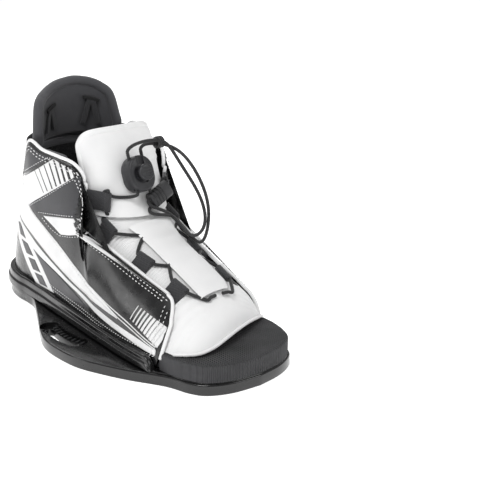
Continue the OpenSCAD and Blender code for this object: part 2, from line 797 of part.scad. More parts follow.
base_plate();
clamp_frame();
clamp_screws();
footbed();
side_panel_left();
side_panel_right();
piping_left();
piping_right();
rear_panel();
label_patch();
ankle_liner();
rear_flap();
pull_loop_left();
pull_loop_right();
collar_pad_left();
collar_pad_right();
forefoot_cover();
lace_keeper();
tongue();
lace_loop_left_1();
lace_loop_left_2();
lace_loop_left_3();
lace_loop_left_4();
lace_loop_right_1();
lace_loop_right_2();
lace_loop_right_3();
lace_loop_right_4();
lace_run_left();
lace_run_right();
lock_body();
lock_plunger();
lock_spring();
lace_tail_left();
lace_tail_right();
tail_knot();
cord_grip();
cord_grip_plug();
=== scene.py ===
# Looks of an open-toe wakeboard binding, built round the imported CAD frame. Metres, in the CAD's frame.
import math

import bmesh
import bpy
from mathutils import Matrix, Vector, kdtree


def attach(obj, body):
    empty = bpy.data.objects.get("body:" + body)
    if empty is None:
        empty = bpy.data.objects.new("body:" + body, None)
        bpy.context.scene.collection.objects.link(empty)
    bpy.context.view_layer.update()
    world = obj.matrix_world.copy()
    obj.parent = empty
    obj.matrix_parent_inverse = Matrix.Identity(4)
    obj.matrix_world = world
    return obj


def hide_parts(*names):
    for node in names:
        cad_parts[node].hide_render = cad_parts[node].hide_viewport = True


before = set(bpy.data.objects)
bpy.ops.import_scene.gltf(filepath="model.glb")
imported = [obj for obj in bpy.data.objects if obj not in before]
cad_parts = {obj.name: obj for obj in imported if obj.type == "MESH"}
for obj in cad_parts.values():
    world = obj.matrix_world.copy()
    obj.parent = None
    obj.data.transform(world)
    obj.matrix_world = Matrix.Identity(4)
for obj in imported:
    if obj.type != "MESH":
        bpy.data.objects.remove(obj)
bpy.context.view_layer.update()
MM = 0.001

# ---------- Shape of the boot, in millimetres, as in the CAD source ----------

PLATE_T, EAR_T, FOOTBED_Z = 10.0, 9.0, 24.0
RIM_HEEL_Z, RIM_FRONT_Z = 24.0, 20.0
PANEL_T, REAR_T, LINER_T, FLAP_T = 3.0, 4.0, 5.0, 9.0
TONGUE_T, COVER_T, PIPING_R, LACE_D = 6.0, 2.4, 1.5, 2.8
SLOT_R, SLOT_W, SLOT_ANGLE = 76.2, 6.8, 14.0
FILM_T, LABEL_T = 0.4, 0.45
# How far across the cover, in degrees, the keeper reaches and the laces under it run
KEEPER_ANGLE, CROSS_ANGLES = 15, (13, 6, 0, -6, -13)
# Distances of the stitch rows from a panel's edge
EDGE_ROWS, FRONT_ROWS = (3.2, 6.0), (3.5, 6.0)
# Passes that soften the corners of the lace ends, which the CAD source leaves sharp
TAIL_EASING = 90
# Side of the boot, the word for it in the pieces' names and in the CAD nodes' names
SIDES = ((1, "far", "left"), (-1, "near", "right"))

# Half width of the boot, and its rearmost line, at each height
WIDTH_Z = [(10, 43), (40, 44), (50, 45.5), (65, 49), (80, 52.5), (95, 54.5), (125, 56.5), (155, 57)]
HEEL_Z = [(10, 155), (40, 155), (50, 151), (65, 143.5), (80, 135), (95, 128.5), (110, 122),
          (125, 116.5), (155, 108.5)]
# Half outlines from heel to toe: the plate, the foot, and the sole round the open toe
PLATE = [(0, 159), (16, 157.5), (30, 151), (39, 139), (46, 120), (48, 100), (50, 84), (58, 67),
         (70, 44), (82, 22), (90, 2), (92, -20), (90, -45), (82, -68), (72, -90), (57, -117),
         (50.5, -138), (42, -150), (24, -158.5), (0, -162)]
FOOT = [(0, 155), (17, 152), (31, 142), (39.5, 128), (43.3, 112), (43.5, 98), (44.5, 82), (45.5, 66),
        (47, 52), (48.5, 36), (50, 20), (51.5, 4), (53, -12), (54.5, -28), (55.5, -44), (57, -62),
        (57.5, -78), (57.5, -94), (56.5, -104.5)]
TOE = [(54, -118), (50, -134), (42, -148), (24, -157.5), (0, -161)]
# Top edge of a side panel: the rear piping line, then the collar and lacing edge
REAR_EDGE = [(0, 53), (12, 55), (22, 62), (30, 74), (37, 92), (43, 115), (49, 140), (54.5, 155.5)]
FRONT_EDGE = [(53, 52, 150.5), (50, 34, 148), (46.5, 16, 145), (43, 7.5, 136), (42.5, 6.5, 122),
              (43.5, 8, 104), (43.5, 5, 91), (40.5, -30, 80.5), (37, -62, 70), (34.5, -88, 62.5),
              (33.5, -101, 57.5)]
BOW = [4, 5, 6, 7, 8, 8, 8, 8, 8, 8, 9, 9, 9, 10, 10, 11, 11, 11, 10]
COVER_ROWS = [(-100, -100, 53, 64, 2.2), (-80, -80, 53.6, 73, 2.2), (-62, -60, 53.4, 80, 2.2),
              (-46, -40, 52, 87, 2.3), (-33, -20, 50, 94.5, 2.8), (-21.5, 3, 47, 103, 4.2),
              (-12, 14, 44, 111, 7)]
TOE_EDGE = [(-50, -118, 24.6), (-42, -128, 25.5), (-34, -133, 26.5), (-22, -134, 28.5), (-8, -131, 30.5),
            (10, -124.5, 31), (28, -117.5, 30), (44, -110.5, 27), (52, -106, 24.6)]
TONGUE_ROWS = [(104, 17, 38.8, 44), (112, 18, 39, 38), (122, 19, 39.2, 33), (136, 21, 39.2, 28),
               (148, 24, 40.5, 25.5), (159, 28, 42, 23), (169, 32, 42.5, 21)]
LINER_FRONT = [(26, 43.5), (60, 46.5), (85, 48), (120, 47), (141, 45)]
FLAP_RISE = [0.07, 0.59, 0.744, 0.817, 0.89, 0.95, 0.98, 1, 0.976, 0.927, 0.83, 0.646, 0.07]
# Where the side panels end over the forefoot, in stations from the heel: left, right
PANEL_END = {1: 17.35, -1: 18.0}


def mix(a, b, t):
    return a + (b - a) * t


def spline(points, u):
    """A Catmull-Rom curve through numbers or tuples, one whole u for each point."""
    last = len(points) - 1
    i = min(max(math.floor(u), 0), last - 1)
    t = u - i
    around = [points[max(i - 1, 0)], points[i], points[i + 1], points[min(i + 2, last)]]
    if not isinstance(around[0], (tuple, list)):
        return curve_step(*around, t)
    return tuple(curve_step(*values, t) for values in zip(*around))


def curve_step(a, b, c, d, t):
    return 0.5 * (2 * b + (c - a) * t + (2 * a - 5 * b + 4 * c - d) * t * t
                  + (3 * b - a - 3 * c + d) * t ** 3)


def lookup(x, table):
    if x <= table[0][0]:
        return table[0][1]
    for (x0, y0), (x1, y1) in zip(table, table[1:]):
        if x <= x1:
            return mix(y0, y1, (x - x0) / (x1 - x0))
    return table[-1][1]


def back_point(x, z, depth=0.0):
    """A point on the round back of the boot, at offset x and height z, depth inside its skin."""
    w = lookup(z, WIDTH_Z)
    k = (w - depth) / w
    return Vector((x * k, lookup(z, HEEL_Z) - w + math.sqrt(max(w * w - x * x, 0)) * k, z))


TOP_EDGE = [tuple(back_point(x, z)) for x, z in REAR_EDGE] + FRONT_EDGE
LAST_STATION = len(TOP_EDGE) - 1
PANEL_FOOT_Z = 14.0


def panel_point(u, v):
    """A point on the skin of the +X side panel: u counts stations from the heel, v runs from sole to top."""
    x, y = spline(FOOT, u)
    foot = Vector((x, y, PANEL_FOOT_Z))
    top = Vector(spline(TOP_EDGE, u))
    middle = (foot + top) / 2
    out = Vector((middle.x, max(middle.y - 70, 0) * 0.9, 3.5 * (u - 11) if u > 11 else 0)).normalized()
    bulge = Vector((0, -9 * (max(u - 15, 0) / 3) ** 2, 0))
    handle = middle + out * spline(BOW, u) + bulge
    return foot * (1 - v) ** 2 + handle * 2 * v * (1 - v) + top * v * v


def panel_normal(u, v):
    u0, u1 = max(u - 0.1, 0), min(u + 0.1, LAST_STATION)
    v0, v1 = max(v - 0.05, 0), min(v + 0.05, 1)
    n = (panel_point(u, v1) - panel_point(u, v0)).cross(panel_point(u1, v) - panel_point(u0,
                                                                                         v)).normalized()
    return -n if (n.x < 0 if u > 1 else n.y < 0) else n


def panel_skin(u, v, depth=0.0, side=1):
    """The same surface moved inward by depth, on either side of the boot."""
    p = panel_point(u, v) - panel_normal(u, v) * depth
    return Vector((side * max(p.x, 0.15), p.y, p.z))


def edge_out(u):
    """Direction in the panel's surface that points away from it across its top edge."""
    t = panel_point(min(u + 0.1, LAST_STATION), 1) - panel_point(max(u - 0.1, 0), 1)
    e = panel_normal(u, 1).cross(t).normalized()
    return -e if e.dot(panel_point(u, 0.9) - panel_point(u, 1)) > 0 else e


def rim_z(y):
    return mix(RIM_FRONT_Z, RIM_HEEL_Z, (y + 105) / 260)


def arch(row, a, depth):
    s = abs(math.sin(a))
    across, up = s ** (2 / row[4]), max(math.cos(a), 0) ** (3.3 / row[4])
    return Vector((math.copysign((row[2] - depth) * across, a), mix(row[0], row[1], across ** 1.6),
                   FOOTBED_Z + 0.6 + (row[3] - depth - FOOTBED_Z - 0.6) * up))


def cover_point(r, degrees, depth=0.0):
    """A point on the forefoot cover: r counts rows back from the toes, and degrees run across it."""
    a = math.radians(degrees)
    if r >= 0:
        return arch(spline(COVER_ROWS, r), a, depth)
    t = -r
    start = arch(COVER_ROWS[0], a, depth)
    edge = Vector(spline(TOE_EDGE, (degrees + 90) / 180 * (len(TOE_EDGE) - 1)))
    end = edge + Vector((-math.sin(a) * depth, depth * math.cos(a), 0))
    pull = Vector((mix(start.x, end.x, 0.8), end.y + 4 * math.cos(a), mix(start.z, end.z, 0.25)))
    return start * (1 - t) ** 2 + pull * 2 * t * (1 - t) + end * t * t


def tongue_point(j, t, depth=0.0):
    """A point on the tongue: j counts rows up it, and t runs across it from -1 to 1."""
    z, y, half, rise = spline(TONGUE_ROWS, j)
    a = math.radians(t * mix(95, 62, j / 6))
    corner = (4 * abs(t) ** 3 + 9 * abs(t) ** 10) * j / 6
    return Vector(((half - depth) * math.sin(a), y - (rise - depth) * math.cos(a), z - corner))


FLAP_R = lookup(155, WIDTH_Z) - REAR_T - 0.8
FLAP_Y = lookup(155, HEEL_Z) - lookup(155, WIDTH_Z)
FLAP_FOOT_Z, FLAP_ANGLE, FLAP_LEAN, FLAP_HEIGHT = 149.5, 60.0, 0.1, 41.0


def flap_point(degrees, v, depth=0.0):
    """A point on the rear flap: degrees run round the heel, v runs up it."""
    a = math.radians(degrees)
    station = (degrees / FLAP_ANGLE + 1) / 2 * (len(FLAP_RISE) - 1)
    z = mix(FLAP_FOOT_Z, 155 + FLAP_HEIGHT * spline(FLAP_RISE, station), v)
    r = FLAP_R - depth
    return Vector((r * math.sin(a), FLAP_Y + r * math.cos(a) - FLAP_LEAN * (z - FLAP_FOOT_Z), z))


# ---------- Finishes ----------

def srgb(code):
    """An sRGB hex colour as linear red, green, blue and alpha."""
    parts = [int(code[i:i + 2], 16) / 255 for i in (0, 2, 4)]
    return tuple(p / 12.92 if p <= 0.04045 else ((p + 0.055) / 1.055) ** 2.4 for p in parts) + (1.0,)


def add_node(tree, kind, settings=None, **links):
    """Adds a node; links gives its inputs by name, with _ for a space, as sockets or plain values."""
    n = tree.nodes.new(kind)
    for key, value in (settings or {}).items():
        setattr(n, key, value)
    for key, value in links.items():
        spot = n.inputs[int(key[1:])] if key[0] == "i" and key[1:].isdigit() else n.inputs[key.replace("_",
                                                                                                       " ")]
        if isinstance(value, bpy.types.NodeSocket):
            tree.links.new(value, spot)
        else:
            spot.default_value = value
    return n


def finish_material(name, colour, roughness, bumps=(), tint=None, wear=None, metallic=0.0, coords="Object",
                    **shader):
    """A principled finish.

    bumps are (texture kind, scale per metre, depth in mm, stretch).
    tint varies the colour and wear the gloss.
    """
    m = bpy.data.materials.new(name)
    m.use_nodes = True
    tree = m.node_tree
    bsdf = tree.nodes["Principled BSDF"]
    bsdf.inputs["Base Color"].default_value = srgb(colour)
    bsdf.inputs["Roughness"].default_value = roughness
    bsdf.inputs["Metallic"].default_value = metallic
    for key, value in shader.items():
        bsdf.inputs[key.replace("_", " ")].default_value = value
    place = add_node(tree, "ShaderNodeTexCoord").outputs[coords]
    if tint:
        other, scale, low, high = tint
        noise = add_node(tree, "ShaderNodeTexNoise", Vector=place, Scale=scale, Detail=4.0, Roughness=0.6)
        shade = add_node(tree, "ShaderNodeMapRange", Value=noise.outputs["Fac"], From_Min=low,
                         From_Max=high)
        blended = add_node(tree, "ShaderNodeMix", {"data_type": "RGBA"}, Factor=shade.outputs["Result"],
                           i6=srgb(colour), i7=srgb(other))
        tree.links.new(blended.outputs[2], bsdf.inputs["Base Color"])
    if wear:
        scale, low, high = wear
        noise = add_node(tree, "ShaderNodeTexNoise", Vector=place, Scale=scale, Detail=5.0)
        rough = add_node(tree, "ShaderNodeMapRange", Value=noise.outputs["Fac"], From_Min=0.35,
                         From_Max=0.65,
                         To_Min=low, To_Max=high)
        tree.links.new(rough.outputs["Result"], bsdf.inputs["Roughness"])
    normal = None
    for kind, scale, depth, stretch in bumps:
        where = add_node(tree, "ShaderNodeMapping", Vector=place, Scale=stretch).outputs["Vector"]
        if kind == "wave":
            height = add_node(tree, "ShaderNodeTexWave", {"wave_type": "BANDS", "bands_direction": "X"},
                              Vector=where, Scale=scale, Distortion=0.4, Detail=1.0).outputs["Fac"]
        elif kind == "cells":
            height = add_node(tree, "ShaderNodeTexVoronoi", {"feature": "F1"}, Vector=where,
                              Scale=scale).outputs["Distance"]
        else:
            height = add_node(tree, "ShaderNodeTexNoise", Vector=where, Scale=scale,
                              Detail=3.0).outputs["Fac"]
        bump = add_node(tree, "ShaderNodeBump", Strength=1.0, Distance=depth * MM, Height=height)
        if normal is not None:
            tree.links.new(normal, bump.inputs["Normal"])
        normal = bump.outputs["Normal"]
    if normal is not None:
        tree.links.new(normal, bsdf.inputs["Normal"])
    return m


def woven_material(name, colour, other, threads, depth, roughness, sheen):
    """A plain weave in the piece's own UV map, which counts millimetres; threads is the spacing in mm."""
    m = finish_material(name, colour, roughness, Sheen_Weight=sheen, Sheen_Roughness=0.5)
    tree = m.node_tree
    bsdf = tree.nodes["Principled BSDF"]
    uv = add_node(tree, "ShaderNodeTexCoord").outputs["UV"]
    spread = add_node(tree, "ShaderNodeVectorMath", {"operation": "SCALE"}, i0=uv, Scale=math.pi / threads)
    parts = add_node(tree, "ShaderNodeSeparateXYZ", Vector=spread.outputs["Vector"])
    across = add_node(tree, "ShaderNodeMath", {"operation": "SINE"}, i0=parts.outputs["X"])
    along = add_node(tree, "ShaderNodeMath", {"operation": "SINE"}, i0=parts.outputs["Y"])
    both = add_node(tree, "ShaderNodeMath", {"operation": "MULTIPLY"}, i0=across.outputs[0],
                    i1=along.outputs[0])
    height = add_node(tree, "ShaderNodeMapRange", Value=both.outputs[0], From_Min=-1.0, From_Max=1.0)
    blended = add_node(tree, "ShaderNodeMix", {"data_type": "RGBA"}, Factor=height.outputs["Result"],
                       i6=srgb(colour), i7=srgb(other))
    tree.links.new(blended.outputs[2], bsdf.inputs["Base Color"])
    bump = add_node(tree, "ShaderNodeBump", Strength=1.0, Distance=depth * MM,
                    Height=height.outputs["Result"])
    tree.links.new(bump.outputs["Normal"], bsdf.inputs["Normal"])
    return m


FLAT = (1.0, 1.0, 1.0)
# Injection-moulded glass-filled nylon, polished: a black mirror with faint flow marks
PLATE_NYLON = finish_material("polished_black_nylon", "0b0b0c", 0.17, [("noise", 45, 0.15, FLAT)],
                              wear=(60, 0.16, 0.3),
                              Coat_Weight=0.25, Coat_Roughness=0.08)
# The same nylon, etched in the mould: dull, a fine grit in the recesses
ETCHED_NYLON = finish_material("etched_black_nylon", "161618", 0.5, [("noise", 1400, 0.12, FLAT)])
# Moulded EVA foam: dull dark grey with a pressed crosshatch about 2.4 mm apart
EVA = finish_material("pressed_eva_foam", "38383a", 0.82,
                      [("wave", 130, 0.5, (1.0, 1.0, 0.0)), ("wave", 130, 0.5, (-1.0, 1.0, 0.0)),
                       ("noise", 900, 0.1, FLAT)],
                      tint=("464648", 30, 0.4, 0.7))
# Clear-coated polyurethane leather: black, wet-looking, slightly rippled over the foam behind it
GLOSS_PU = finish_material("gloss_black_pu", "0c0c0d", 0.26,
                           [("noise", 34, 0.9, FLAT), ("cells", 1100, 0.03, FLAT)],
                           tint=("161617", 22, 0.45, 0.7), wear=(90, 0.2, 0.36), Coat_Weight=0.3,
                           Coat_Roughness=0.14)
# Satin polyurethane leather in charcoal, for the sewn ankle patches
SATIN_PU = finish_material("satin_charcoal_pu", "343437", 0.42,
                           [("noise", 60, 0.25, FLAT), ("cells", 1300, 0.05, FLAT)],
                           tint=("434346", 35, 0.4, 0.7))
# White film bonded to the panels: smooth, faintly creased
WHITE_FILM = finish_material("white_pu_film", "e4e4e4", 0.38, [("noise", 80, 0.12, FLAT)],
                             tint=("d8d8d8", 40, 0.45, 0.75))
# Coated piping cord: white, soft gloss
PIPING_PU = finish_material("white_piping_pu", "e6e6e6", 0.35, [("noise", 500, 0.08, FLAT)],
                            tint=("dadada", 120, 0.5, 0.8))
# Bonded nylon thread, white
THREAD = finish_material("white_thread", "e9e9e9", 0.6, [("noise", 2500, 0.05, FLAT)])
# Neoprene with a knitted nylon face: soft charcoal, a very fine stitch
NEOPRENE = finish_material("knit_faced_neoprene", "444447", 0.85,
                           [("cells", 1500, 0.12, FLAT), ("noise", 40, 0.5, FLAT)],
                           tint=("4f4f52", 18, 0.35, 0.7), Sheen_Weight=0.25, Sheen_Roughness=0.5)
# Lycra-faced foam, moulded: dark grey with a soft sheen
FLAP_FOAM = finish_material("fabric_faced_foam", "3c3c3f", 0.8,
                            [("cells", 1700, 0.1, FLAT), ("noise", 26, 0.8, FLAT)],
                            tint=("48484b", 14, 0.35, 0.7), Sheen_Weight=0.3, Sheen_Roughness=0.45)
# Open black spacer mesh inside the collar
SPACER_MESH = finish_material("black_spacer_mesh", "161617", 0.9, [("cells", 620, 0.5, FLAT)],
                              tint=("2a2a2c", 700, 0.5, 0.6))
# Stretch nylon, white: bright, a fine knit under its sewn ribs
STRETCH = finish_material("white_stretch_nylon", "e6e6e6", 0.72,
                          [("cells", 1600, 0.08, FLAT), ("noise", 22, 0.7, FLAT)],
                          tint=("dcdcdd", 16, 0.45, 0.75), Sheen_Weight=0.2, Sheen_Roughness=0.5)
# White coated fabric laminated to foam, for the tongue
TONGUE_FABRIC = finish_material("white_laminated_fabric", "e4e4e4", 0.6,
                                [("cells", 1200, 0.06, FLAT), ("noise", 18, 0.9, FLAT)],
                                tint=("d9d9da", 14, 0.45, 0.75), Sheen_Weight=0.15, Sheen_Roughness=0.5)
# Woven polyester webbing, charcoal, threads 0.9 mm apart
WEBBING = woven_material("charcoal_webbing", "1d1d1f", "343437", 0.9, 0.25, 0.75, 0.2)
# Braided polyester lace, black, its strands about 1.1 mm apart
LACE = woven_material("black_braided_lace", "0e0e0f", "232325", 1.1, 0.3, 0.7, 0.15)
# Satin moulded nylon, for the lock
LOCK_NYLON = finish_material("satin_dark_nylon", "232326", 0.42, [("noise", 1200, 0.05, FLAT)],
                             wear=(200, 0.34, 0.52))
# Moulded rubber, for the grip
GRIP_RUBBER = finish_material("moulded_rubber", "1e1e20", 0.55, [("noise", 900, 0.08, FLAT)],
                              tint=("28282a", 90, 0.4, 0.7))
# Painted shade: near-black nylon, darker than the parts round it, standing in for the shade inside hollows:
# the plug deep in the grip and the bar across the top of each pull loop
PAINTED_SHADE_NYLON = finish_material("painted_shade_inner_nylon", "0c0c0d", 0.6, [("noise", 900, 0.05, FLAT)])
# Bare aluminium sheet, brushed
CLAMP_METAL = finish_material("brushed_aluminium", "b8babd", 0.35, [("noise", 300, 0.05, (1.0, 20.0, 1.0))],
                              metallic=1.0)
# Stainless steel, turned
STEEL = finish_material("stainless_steel", "c4c6c9", 0.25, [("noise", 900, 0.02, FLAT)], metallic=1.0)
# Soft moulded patch: charcoal field, orange header, white frame and bars
PATCH_FIELD = finish_material("charcoal_patch", "3e3e41", 0.5, [("noise", 700, 0.05, FLAT)])
PATCH_ORANGE = finish_material("orange_patch_header", "f0762a", 0.45, [("noise", 700, 0.05, FLAT)],
                               tint=("e86c22", 90, 0.4, 0.7))
PATCH_WHITE = finish_material("white_patch_print", "f0f0f0", 0.45, [("noise", 700, 0.05, FLAT)])


# ---------- Making pieces ----------

def new_piece(name, bm, material, body="root", slot=None, replaced=()):
    """Turns a bmesh, in millimetres, into a named piece in metres that rides on a CAD body."""
    bmesh.ops.scale(bm, vec=(MM, MM, MM), verts=bm.verts)
    mesh = bpy.data.meshes.new(name)
    bm.to_mesh(mesh)
    bm.free()
    for face in mesh.polygons:
        face.use_smooth = True
    o = bpy.data.objects.new(name, mesh)
    bpy.context.scene.collection.objects.link(o)
    mesh.materials.append(material)
    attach(o, body)
    if replaced:
        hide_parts(*replaced)
    return o


def crisp(o, degrees=35):
    """Keeps edges sharper than the angle hard under smooth shading."""
    mesh = o.data
    mesh.set_sharp_from_angle(angle=math.radians(degrees))
    return o


def sheet_grid(columns, rows, place):
    """A grid of columns by rows cells, with UVs in millimetres.

    place(s, t) gives each corner, for s and t from 0 to 1.
    """
    bm = bmesh.new()
    bmesh.ops.create_grid(bm, x_segments=columns, y_segments=rows, size=0.5)
    uv = bm.loops.layers.uv.new("UVMap")
    spots = {}
    for vert in bm.verts:
        s, t = vert.co.x + 0.5, vert.co.y + 0.5
        spots[vert] = (round(s * columns), round(t * rows))
        vert.co = place(s, t)
    grid = {spot: vert.co.copy() for vert, spot in spots.items()}
    wide, tall = {}, {}
    for j in range(rows + 1):
        total = 0.0
        for i in range(columns + 1):
            total += (grid[i, j] - grid[i - 1, j]).length if i else 0.0
            wide[i, j] = total
    for i in range(columns + 1):
        total = 0.0
        for j in range(rows + 1):
            total += (grid[i, j] - grid[i, j - 1]).length if j else 0.0
            tall[i, j] = total
    for face in bm.faces:
        for loop in face.loops:
            spot = spots[loop.vert]
            loop[uv].uv = (wide[spot], tall[spot])
    return bm


def skin_piece(name, columns, rows, place, thickness, material, **facts):
    """A curved skin of even thickness with rounded rims; place gives its outer surface."""
    o = new_piece(name, sheet_grid(columns, rows, place), material, **facts)
    point_out(o)
    solid = o.modifiers.new("Wall", "SOLIDIFY")
    solid.thickness, solid.offset, solid.use_rim = thickness * MM, -1.0, True
    solid.use_quality_normals = True
    rounded = o.modifiers.new("Rim", "BEVEL")
    rounded.width, rounded.segments, rounded.limit_method = min(thickness * 0.3, 1.0) * MM, 2, "ANGLE"
    rounded.angle_limit = math.radians(60)
    return o


def point_out(o):
    """Turns a skin's faces away from the inside of the boot."""
    mesh = o.data
    middle = mesh.polygons[len(mesh.polygons) // 2]
    away = middle.center - Vector((0, min(max(middle.center.y, -60 * MM), 70 * MM), 50 * MM))
    if middle.normal.dot(away) < 0:
        mesh.flip_normals()


def tube_mesh(points, radius, sides=12):
    """A round tube through points, with UVs in millimetres round and along it.

    radius may be a function of the share run.
    """
    points = [Vector(p) for p in points]
    lengths = [0.0]
    for a, b in zip(points, points[1:]):
        lengths.append(lengths[-1] + (b - a).length)
    bm = bmesh.new()
    uv = bm.loops.layers.uv.new("UVMap")
    tangent = (points[1] - points[0]).normalized()
    side = tangent.orthogonal().normalized()
    rings = []
    for i, p in enumerate(points):
        t = (points[min(i + 1, len(points) - 1)] - points[max(i - 1, 0)]).normalized()
        side = (side - t * side.dot(t)).normalized()
        other = t.cross(side)
        r = radius(lengths[i] / lengths[-1]) if callable(radius) else radius
        ring = []
        for k in range(sides):
            a = 2 * math.pi * k / sides
            ring.append(bm.verts.new(p + (side * math.cos(a) + other * math.sin(a)) * r))
        rings.append(ring)
    turn = 2 * math.pi * (radius(0.5) if callable(radius) else radius) / sides
    for i in range(len(rings) - 1):
        for k in range(sides):
            n = (k + 1) % sides
            face = bm.faces.new((rings[i][k], rings[i][n], rings[i + 1][n], rings[i + 1][k]))
            for loop, (a, b) in zip(face.loops, ((k, i), (k + 1, i), (k + 1, i + 1), (k, i + 1))):
                loop[uv].uv = (a * turn + lengths[b], lengths[b] - a * turn)
    bm.faces.new(list(reversed(rings[0])))
    bm.faces.new(rings[-1])
    bmesh.ops.recalc_face_normals(bm, faces=bm.faces)
    return bm


def join_meshes(parts):
    """One bmesh from several, which are freed."""
    whole = bmesh.new()
    for part in parts:
        mesh = bpy.data.meshes.new("part")
        part.to_mesh(mesh)
        part.free()
        whole.from_mesh(mesh)
        bpy.data.meshes.remove(mesh)
    return whole


def dense(points, per):
    """A smooth run of points, per steps between each two."""
    return [Vector(spline([tuple(p) for p in points], i / per)) for i in range((len(points) - 1) * per + 1)]


def eased(points, passes=1):
    """A run with its corners softened; its two ends stay."""
    for _ in range(passes):
        inside = [(a + b * 2 + c) / 4 for a, b, c in zip(points, points[1:], points[2:])]
        points = [points[0]] + inside + [points[-1]]
    return points


def film_wall(o, thickness):
    """Gives a bonded film its thickness, inward from its face."""
    wall = o.modifiers.new("Film", "SOLIDIFY")
    wall.thickness, wall.offset = thickness * MM, -1.0


def evenly(points, step):
    """Points spaced step apart along a run, with the direction at each."""
    out, left = [], 0.0
    for a, b in zip(points, points[1:]):
        span = (b - a).length
        while left <= span and span > 0:
            out.append((a + (b - a) * (left / span), (b - a).normalized()))
            left += step
        left -= span
    return out


def stitches(name, lines, material, length=2.4, pitch=3.8, r=0.42, body="root", slot=None):
    """Rows of thread stitches: lines are (points, normal function) on a surface."""
    parts = []
    for points, normal in lines:
        for p, t in evenly(points, pitch):
            n = normal(p)
            bm = bmesh.new()
            bmesh.ops.create_icosphere(bm, subdivisions=1, radius=1.0)
            side = n.cross(t).normalized()
            place = Matrix((t * length / 2, side * r, n * r)).transposed().to_4x4()
            place.translation = p + n * r * 0.3
            bmesh.ops.transform(bm, matrix=place, verts=bm.verts)
            parts.append(bm)
    return new_piece(name, join_meshes(parts), material, body=body, slot=slot)


# ---------- Camera, light and floor ----------

def aim(o, place, target):
    o.location = place
    o.rotation_mode = "QUATERNION"
    o.rotation_quaternion = (Vector(target) - Vector(place)).to_track_quat("-Z", "Y")


def studio():
    """The camera and a plain white room with large soft lights."""
    cam = bpy.data.objects.new("Camera", bpy.data.cameras.new("Camera"))
    cam.data.lens, cam.data.sensor_width = 82.06, 36.0
    cam.data.shift_x, cam.data.shift_y = 0.06, 0.04
    aim(cam, (-0.5157, -0.7111, 0.3788), (0.0377, -0.0591, 0.0652))
    bpy.context.scene.collection.objects.link(cam)
    bpy.context.scene.camera = cam
    for name, place, size, power in (
            ("Key", (-0.7, -0.4, 1.3), 0.7, 11.0), ("Fill", (0.7, -1.2, 0.9), 0.8, 5.0),
            ("Back", (0.3, 1.0, 1.2), 0.8, 7.0),
            ("Side", (-1.3, 0.6, 0.5), 0.5, 2.6)):
        lamp = bpy.data.lights.new(name, "AREA")
        lamp.shape, lamp.size, lamp.energy = "SQUARE", size, power
        o = bpy.data.objects.new(name, lamp)
        aim(o, place, (0, 0, 0.07))
        bpy.context.scene.collection.objects.link(o)
    world = bpy.data.worlds.new("Room")
    world.use_nodes = True
    seen = add_node(world.node_tree, "ShaderNodeLightPath").outputs["Is Camera Ray"]
    strength = add_node(world.node_tree, "ShaderNodeMapRange", Value=seen, To_Min=0.38, To_Max=1.0)
    back = world.node_tree.nodes["Background"]
    back.inputs["Color"].default_value = srgb("ffffff")
    world.node_tree.links.new(strength.outputs["Result"], back.inputs["Strength"])
    bpy.context.scene.world = world
    bpy.context.scene.view_settings.view_transform = "Standard"
    bm = bmesh.new()
    bmesh.ops.create_grid(bm, x_segments=1, y_segments=1, size=3.0)
    mesh = bpy.data.meshes.new("Floor")
    bm.to_mesh(mesh)
    bm.free()
    floor = bpy.data.objects.new("Floor", mesh)
    floor.location.z = -0.0002
    # Matt white paper sweep
    mesh.materials.append(finish_material("white_paper", "ffffff", 0.9, [("noise", 300, 0.02, FLAT)],
                                          Emission_Color=srgb("ffffff"), Emission_Strength=0.6))
    bpy.context.scene.collection.objects.link(floor)


studio()

# ---------- Lacing: routes, as in the CAD source, in metres ----------

LACE_R = LACE_D / 2
LOCK_POS = Vector((-4, -16.5, 137))
LOCK_TILT = math.radians(69)
LOCK_UP = Vector((0, math.cos(LOCK_TILT), math.sin(LOCK_TILT)))
LOCK_OUT = Vector((0, -math.sin(LOCK_TILT), math.cos(LOCK_TILT)))
LOCK_LEN, LOCK_W, LOCK_DEPTH = 30.0, 24.0, 14.0
CORD_OFFSET, CORD_HEIGHT = 6.6, 1.5
LOCK_EXIT = LOCK_LEN / 2 + 3.8
GRIP_POS = Vector((11, -24.5, 118.5))
GRIP_TILT = math.radians(63)
GRIP_LEN, GRIP_W, GRIP_DEPTH, GRIP_HOLE = 20.0, 15.0, 11.0, 3.2
GRIP_AXIS = Vector((math.sin(GRIP_TILT), 0, math.cos(GRIP_TILT)))
GRIP_SIDE = Vector((math.cos(GRIP_TILT), 0, -math.sin(GRIP_TILT)))
KNOT_POS = Vector((12, -23.4, 162.6))

TAIL_RIGHT = [
    (-0.0094, -0.0126, 0.1600), (-0.0056, -0.0170, 0.1632), (0.0005, -0.0210, 0.1650),
    (0.0055, -0.0234, 0.1653),
    (0.0095, -0.0245, 0.1648),
    (0.0145, -0.0262, 0.1640), (0.0170, -0.0310, 0.1615), (0.0165, -0.0380, 0.1550),
    (0.0160, -0.0470, 0.1480),
    (0.0165, -0.0600, 0.1375), (0.0170, -0.0695, 0.1280), (0.0175, -0.0750, 0.1185),
    (0.0180, -0.0765, 0.1075),
    (0.0185, -0.0730, 0.0995), (0.0190, -0.0660, 0.0925), (0.0200, -0.0580, 0.0885),
    (0.0210, -0.0500, 0.0880),
    (0.0215, -0.0420, 0.0915), (0.0220, -0.0340, 0.0960), (0.0200, -0.0280, 0.1010),
    (0.0130, -0.0295, 0.1055),
    (0.0050, -0.0298, 0.1090), (-0.0020, -0.0275, 0.1120)]
